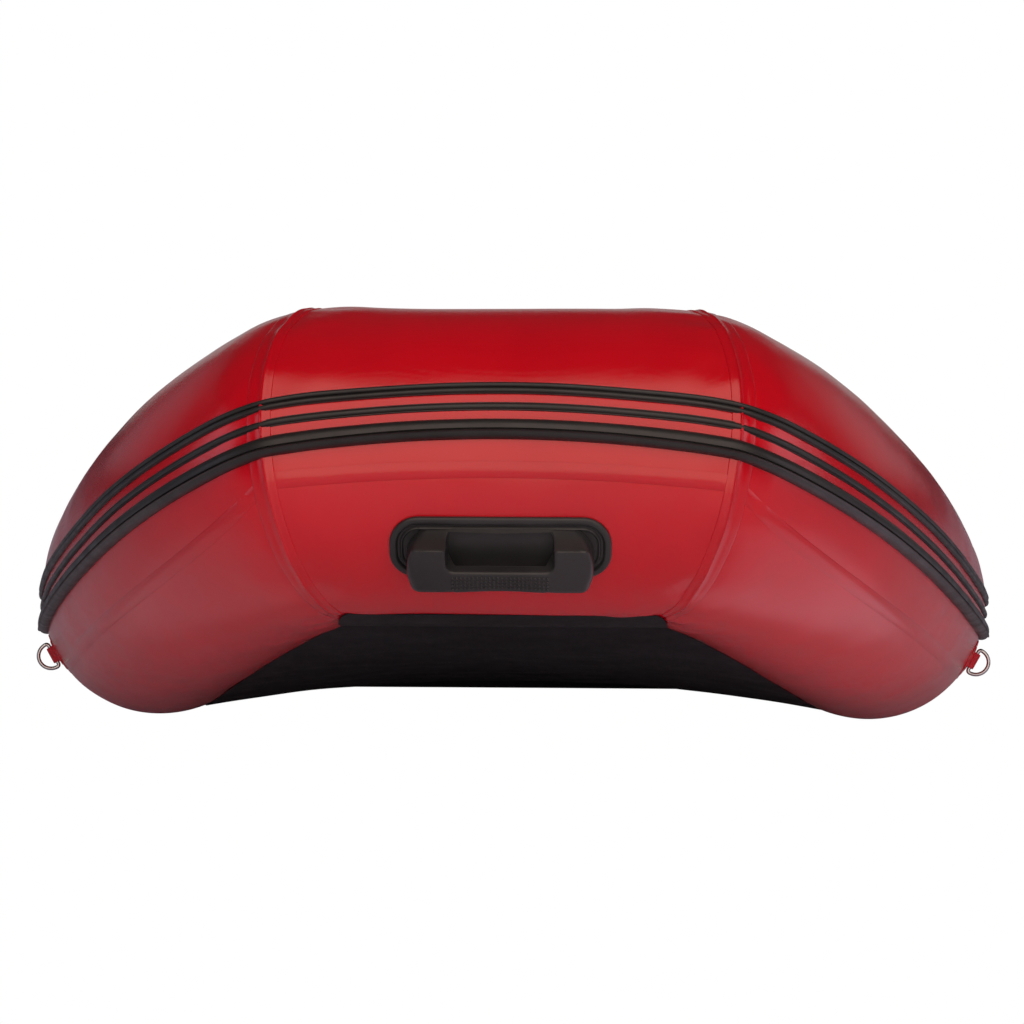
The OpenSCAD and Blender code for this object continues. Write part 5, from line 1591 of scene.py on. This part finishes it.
both_sides(swivel, PLASTIC, "black_plastic", "{side}_swivel", "{side}_swivel_moulding", "oarlock_swivel")

# ---- Oars ----
OAR_IN, OAR_OUT = 0.400, 1.050
BLADE_W, BLADE_L, BLADE_T = 0.136, 0.400, 0.008
BLADE_CORNER = 0.040
BLADE_EDGE_T, BLADE_RIM_H = 0.0036, 0.0022
GRIP_L = 0.120
ON_OAR = ON_LOCK @ Matrix.Translation((0, 0, TUBE_R + OAR_UP))
shaft_end = OAR_OUT - BLADE_L + 0.060
shaft = sections("shaft", [(GRIP_L / 2 - OAR_IN, OAR_R), (shaft_end, OAR_R)], 48)
both_sides(moved(shaft, ON_OAR), ALUMINIUM, "aluminium", "{side}_oar", "{side}_oar_tube", "oar_shaft")

stop = EYE_L / 2 + 0.0003
bore_r = OAR_R + 0.0001
half_collar = [(SLEEVE_R, stop), (EYE_R - 0.0028, stop), (EYE_R - 0.002, stop + 0.0008),
               (EYE_R - 0.002, stop + 0.005), (EYE_R - 0.0030, stop + 0.006), (bore_r, stop + 0.006)]
collar_loop = [(r, -y) for r, y in half_collar[::-1]] + half_collar
collar = moved(lathe("collar", collar_loop, 64, hollow=True), Z_TO_Y)
GRIP_R = OAR_R + 0.0025
WAVE_PITCH, WAVE_DEPTH = 0.0215, 0.0017
grip_profile = []
for f in np.linspace(0, 1, 90):
    y = mix(-OAR_IN + 0.0155, -OAR_IN + GRIP_L, f)
    waves = 0.5 + 0.5 * math.cos((y + OAR_IN) / WAVE_PITCH * 2 * math.pi)
    r = GRIP_R - WAVE_DEPTH * waves * float(smooth(min(f, 1 - f) / 0.1))
    if f > 0.97:
        r -= 0.0018 * ((f - 0.97) / 0.03) ** 2
    grip_profile.append((y, r))
dome = [(-OAR_IN + 0.0185 - 0.0180 * math.cos(a), 0.0002 + 0.0183 * math.sin(a))
        for a in np.linspace(0.02, 1.35, 14)]
hand_grip = sections("hand_grip", dome + grip_profile, 48)
oar_grips = tidy_mesh(joined("oar_grips", [collar, hand_grip]), 40)
both_sides(moved(oar_grips, ON_OAR), PAD_RUBBER, "black_rubber", "{side}_oar", "{side}_oar_grip_set",
           "oar_grips")


def blade_half(y):
    """Half width of the blade at distance y from its tip towards the hand."""
    r = BLADE_CORNER
    into_corner = max(0, r - y, y - BLADE_L + r)
    return BLADE_W / 2 - r + math.sqrt(max(0, r * r - into_corner**2))


xs = np.linspace(-1, 1, 41)
rows = []
for y in [0.0006, 0.003, 0.007, *np.linspace(0.012, BLADE_L - 0.012, 60), BLADE_L - 0.006, BLADE_L - 0.0012]:
    half = blade_half(y)
    rim = BLADE_RIM_H * float(smooth(y / 0.03))
    spine = BLADE_EDGE_T / 2 + 0.5 * (BLADE_T - BLADE_EDGE_T) * (1 - np.abs(xs) ** 1.5)
    edge = 0.5 * rim * bump(np.abs(xs) - 0.93, 0.05)
    thick = np.minimum(BLADE_T / 2, spine + edge) * np.sqrt(np.clip(1 - np.abs(xs) ** 30, 0.0, 1))
    thick = np.maximum(thick, 0.0004)
    top = np.stack([xs * half, np.full(len(xs), OAR_OUT - y), thick], -1)
    rows.append(np.concatenate([top, top[::-1] * np.array([1, 1, -1])]))
plate = swept("blade_plate", np.array(rows))
socket_r = OAR_R + 0.003
root = OAR_OUT - BLADE_L
# The socket round the oar's tube, with a groove, thins down into the blade's spine
socket_profile = [
    (root - 0.050, socket_r - 0.0008), (root - 0.0492, socket_r), (root - 0.040, socket_r),
    (root - 0.039, socket_r - 0.0007), (root - 0.035, socket_r - 0.0007), (root - 0.034, socket_r),
    (root + 0.060, socket_r)]
socket_profile += [(y, mix(socket_r, 0.0052, float(smooth((y - root - 0.060) / 0.115))))
                   for y in np.linspace(root + 0.062, root + 0.168, 24)]
socket = sections("socket", socket_profile, 48)
blade = melted(joined("blade", [plate, socket]), 0.0017, 3, 0.5)
bore = sections("bore", [(root - 0.06, bore_r), (root + 0.0603, bore_r)], 48)
tidy_mesh(cut(blade, [bore]), 45)
both_sides(moved(blade, ON_OAR), PLASTIC, "black_plastic", "{side}_oar", "{side}_blade_moulding",
           "oar_blade")

# ---- Carry handles ----
CARRY_Y = box_middle("port_carry_handle")[1]
CARRY_DEG = 33
CARRY_L = 0.150
CARRY_R, CARRY_THIN_R = 0.011, 0.0092
CARRY_WAVE_PITCH, CARRY_WAVE_DEPTH, CARRY_WAVE_TO = 0.0095, 0.0011, 0.050
ON_CARRY = on_side(CARRY_Y, CARRY_DEG)
carry_parts = []
for s in (-1, 1):
    foot = glued_disc("foot", 0.034, 0.0029, TUBE_R + 0.0002, 56)
    rise = lathe("rise", [(0.0240, 0.0022), (0.0200, 0.0038), (0.0160, 0.0062), (0.0130, 0.0100),
                          (0.0105, 0.0150), (0.0092, 0.0190)], 40)
    shifted(rise, 0, 0, TUBE_R)
    carry_parts += [shifted(o, 0, s * CARRY_L / 2, 0) for o in (foot, rise)]
carry_top = TUBE_R + 0.036
bend_r = 0.016
# The bar goes up, round a bend and half way along, and comes back down the same way
path = [(0, -CARRY_L / 2, z) for z in np.linspace(TUBE_R + 0.004, carry_top - bend_r, 6)]
path += [(0, -CARRY_L / 2 + bend_r - bend_r * math.cos(a), carry_top - bend_r + bend_r * math.sin(a))
         for a in np.linspace(0, math.pi / 2, 12)[1:]]
straight = np.linspace(-CARRY_L / 2 + bend_r, CARRY_L / 2 - bend_r, 70)[1:-1]
path += [(0, y, carry_top) for y in straight]
path += [(0, -y, z) for _, y, z in path[16::-1]]
path = np.array(path)
girth = np.full(len(path), CARRY_THIN_R)
flat_top = path[:, 2] > carry_top - 1e-6
waves = 0.5 + 0.5 * np.cos(path[:, 1] / CARRY_WAVE_PITCH * 2 * np.pi)
waves *= np.abs(path[:, 1]) < CARRY_WAVE_TO
girth[flat_top] = CARRY_R - CARRY_WAVE_DEPTH * waves[flat_top]
girth = np.convolve(np.pad(girth, 1, "edge"), [0.2, 0.6, 0.2], "valid")
carry_parts.append(pipe("carry_grip", path, girth, 28))
carry = tidy_mesh(joined("carry", carry_parts), 45)
both_sides(moved(carry, ON_CARRY), PAD_RUBBER, "black_rubber", "hull",
           "{side}_carry_handle_moulding", "carry_handle")

# ---- Valves ----
VALVE_R = 0.018
FLANGE_R = 0.026
AIR_HOLE_R, AIR_HOLE_RING = 0.003, 0.009
VALVE_BODY = [
    (FLANGE_R, 0.0005), (FLANGE_R, 0.0016), (FLANGE_R - 0.0006, 0.0025), (FLANGE_R - 0.0016, 0.0030),
    (0.0212, 0.0030), (0.0208, 0.0026), (0.0200, 0.0026), (0.0196, 0.0030), (0.0160, 0.0030),
    (0.0150, 0.0022), (0.0150, -0.0100), (0.0031, -0.0100), (0.0031, -0.0130), (0.0150, -0.0130),
    (0.0150, -0.0240), (0.0120, -0.0240), (0.0120, -0.0260), (0.0150, -0.0260), (0.0150, -0.0300),
    (0.0180, -0.0300), (0.0180, 0.0005)]
POPPET = [(0.0002, -0.0293), (0.0140, -0.0293), (0.0140, -0.0266), (0.0137, -0.0263), (0.0030, -0.0263),
          (0.0030, -0.0046), (0.0046, -0.0044), (0.0050, -0.0040), (0.0050, -0.0030), (0.0045, -0.0025),
          (0.0030, -0.0024), (0.0020, -0.0028)]
CAP_RIM = VALVE_R + 0.005
CAP_BASE = 0.0033
VALVE_CAP = [(0.0120, -0.0048), (0.0145, -0.0048), (0.0147, -0.0044), (0.0147, 0.0), (0.0222, 0.0),
             (0.0229, 0.0004), (0.0230, 0.0010), (0.0230, 0.0012), (0.0230, 0.0058), (0.0230, 0.0064),
             (0.0228, 0.0072), (0.0222, 0.0084), (0.0212, 0.0092), (0.0202, 0.0094), (0.0150, 0.0090),
             (0.0002, 0.0088), (0.0002, 0.0006), (0.0120, 0.0006)]


def valve_body(name, on_tube):
    """A valve's seat: its flange is saddled on a tube along local Y, or flat for the deck."""
    body = lathe(name, VALVE_BODY, 72, hollow=True)
    holes = []
    for a in np.radians(np.arange(0, 360, 60)):
        hole = lathe("hole", [(AIR_HOLE_R, -0.016), (AIR_HOLE_R, -0.006)], 20)
        holes.append(shifted(hole, AIR_HOLE_RING * math.cos(a), AIR_HOLE_RING * math.sin(a), 0))

    def saddle(co):
        sag = TUBE_R - np.sqrt(TUBE_R**2 - co[:, 0] ** 2)
        co[:, 2] -= sag * (np.hypot(co[:, 0], co[:, 1]) > VALVE_R + 0.0002) * (co[:, 2] > -0.001)
        return co
    return reshaped(cut(body, holes), saddle if on_tube else lambda co: co, 35)


def knurled(angles, r, z):
    """Finger grooves up the side of the cap."""
    on_side_wall = 0.0011 < z < 0.0060 and r > 0.02
    return r - (0.0009 if on_side_wall else 0) * (0.5 - 0.5 * np.cos(36 * angles)) ** 0.7


def valve_cap(name):
    knob = lathe("knob", VALVE_CAP, 144, 38, knurled, hollow=True)
    bar = slab("bar", rounded_outline(2 * CAP_RIM - 0.0082, 0.0058, 0.0028, 8), 0.0082, 0.0148, 0.0012)
    return shifted(tidy_mesh(joined(name, [knob, bar]), 38), 0, 0, CAP_BASE)


lift = Matrix.Translation((0, 0, TUBE_R))
AT_BOW_VALVE = on_bow(0, VALVE_DEG) @ lift
AT_SIDE_VALVE = on_side(SIDE_VALVE_Y, VALVE_DEG) @ lift
AT_DECK_VALVE = Matrix.Translation((valve_x, valve_y, deck_high.z))
for label, place in (("bow", AT_BOW_VALVE), ("port", AT_SIDE_VALVE),
                     ("starboard", TO_STARBOARD @ AT_SIDE_VALVE), ("deck", AT_DECK_VALVE)):
    body_place = place @ turned(90, "Z") if label == "bow" else place
    piece(moved(valve_body(f"{label}_valve_seat", label != "deck"), body_place), PLASTIC, "black_plastic",
          "hull", "valve_bodies")
    poppet = moved(lathe(f"{label}_poppet", POPPET, 40), place)
    piece(poppet, WHITE_PLASTIC, "white_plastic", f"{label}_valve_poppet", f"{label}_valve_poppet")
    piece(moved(valve_cap(f"{label}_cap"), place), PLASTIC, "black_plastic", f"{label}_valve_cap",
          f"{label}_valve_cap")

# ---- Camera ----
camera_data = bpy.data.cameras.new("photo_camera")
camera_data.sensor_width = 36
camera_data.lens = 74.72  # mm, as found from the photo
camera_data.clip_end = 60
camera = linked("photo_camera", camera_data)
bpy.context.scene.camera = camera
# Where the outline of the CAD model meets the photo's
camera.matrix_world = basis((0.049531, -3.825529, 0.802028), (0.999868, 0.015606, 0.003581),
                            (-0.005546, 0.127670, 0.991805), (0.015020, -0.991699, 0.127739))

# ---- Light ----
scene = bpy.context.scene
scene.view_settings.view_transform = "Standard"
scene.view_settings.look = "None"
world = bpy.data.worlds.new("studio")
scene.world = world
world.use_nodes = True


def white_to_camera(tree, kind, shade, target):
    """The camera sees pure white, of the kind of node given, in place of shade."""
    seen = tree.nodes.new("ShaderNodeLightPath").outputs["Is Camera Ray"]
    paper = tree.nodes.new(kind)
    paper.inputs["Color"].default_value = (1, 1, 1, 1)
    paper.inputs["Strength"].default_value = 1.0
    choose = tree.nodes.new("ShaderNodeMixShader")
    for k, source in enumerate((seen, shade.outputs[0], paper.outputs[0])):
        tree.links.new(source, choose.inputs[k])
    tree.links.new(choose.outputs[0], tree.nodes[target].inputs["Surface"])


background = world.node_tree.nodes["Background"]
background.inputs["Color"].default_value = (0.80, 0.84, 0.95, 1)
background.inputs["Strength"].default_value = 0.05
white_to_camera(world.node_tree, "ShaderNodeBackground", background, "World Output")


def softbox(name, place, target, size, radiance, color, mirrored_in_gloss):
    """A soft light of even radiance. One that isn't mirrored in gloss only fills the shade."""
    data = bpy.data.lights.new(name, "AREA")
    data.shape = "RECTANGLE"
    data.size, data.size_y = size
    data.energy = radiance * math.pi * size[0] * size[1]
    data.color = color
    lamp = linked(name, data)
    lamp.location = place
    lamp.rotation_euler = (Vector(target) - Vector(place)).to_track_quat("-Z", "Y").to_euler()
    lamp.visible_camera = False
    lamp.visible_glossy = mirrored_in_gloss


# Name, place, target, size, radiance, colour and whether gloss mirrors it
SOFTBOXES = (
    ("front_box", (0.35, -3.85, 1.84), (0.1, -1.35, -0.34), (4.4, 4.1), 1.8, (1.0, 0.80, 0.68), True),
    ("left_floor_glow", (-0.68, -1.12, 0.006), (-0.66, -1.1, 1.0), (0.8, 1.0), 0.14, (1.0, 0.85, 0.95), True),
    ("right_floor_glow", (0.68, -1.12, 0.006), (0.66, -1.10, 1.0), (0.8, 1.0), 0.42, (1.0, 0.84, 1.0), True),
    ("left_back_box", (-4.6, 3.4, 1.7), (-0.6, -0.7, 0.5), (3.0, 2.2), 0.16, (0.9, 0.86, 1.0), True),
    ("right_back_box", (4.6, 3.4, 1.7), (0.6, -0.7, 0.5), (3.0, 2.2), 0.26, (1.0, 0.9, 0.94), True),
    ("left_box", (-4.6, -1.6, 1.1), (0, -0.8, 0.3), (2.6, 2.0), 0.9, (0.84, 0.84, 1.0), True),
    ("right_box", (4.6, -1.6, 1.1), (0, -0.8, 0.3), (2.6, 2.0), 1.3, (1.0, 0.84, 0.92), True),
    ("back_box", (0, 5.4, 1.7), (0, 0.8, 0.4), (6.0, 2.4), 0.35, (1.0, 0.98, 0.96), True),
    ("back_fill", (0, 5.0, 2.6), (0, 0.6, 0.3), (6.0, 3.0), 0.55, (1.0, 0.98, 0.96), False),
    ("top_fill", (0, 0.6, 4.2), (0, 0.4, 0.2), (5.0, 5.0), 0.22, (1.0, 0.98, 0.96), False),
)
for box in SOFTBOXES:
    softbox(*box)

floor_shader = Shader("studio_floor", (0.78, 0.80, 0.95), 0.6)
white_to_camera(floor_shader.tree, "ShaderNodeEmission", floor_shader.bsdf, "Material Output")
FLOOR = 14  # half its side, far beyond the view
corners = [(-FLOOR, -FLOOR, 0), (FLOOR, -FLOOR, 0), (FLOOR, FLOOR, 0), (-FLOOR, FLOOR, 0)]
floor = new_object("floor", corners, [[0, 1, 2, 3]])
floor.data.materials.append(floor_shader.mat)
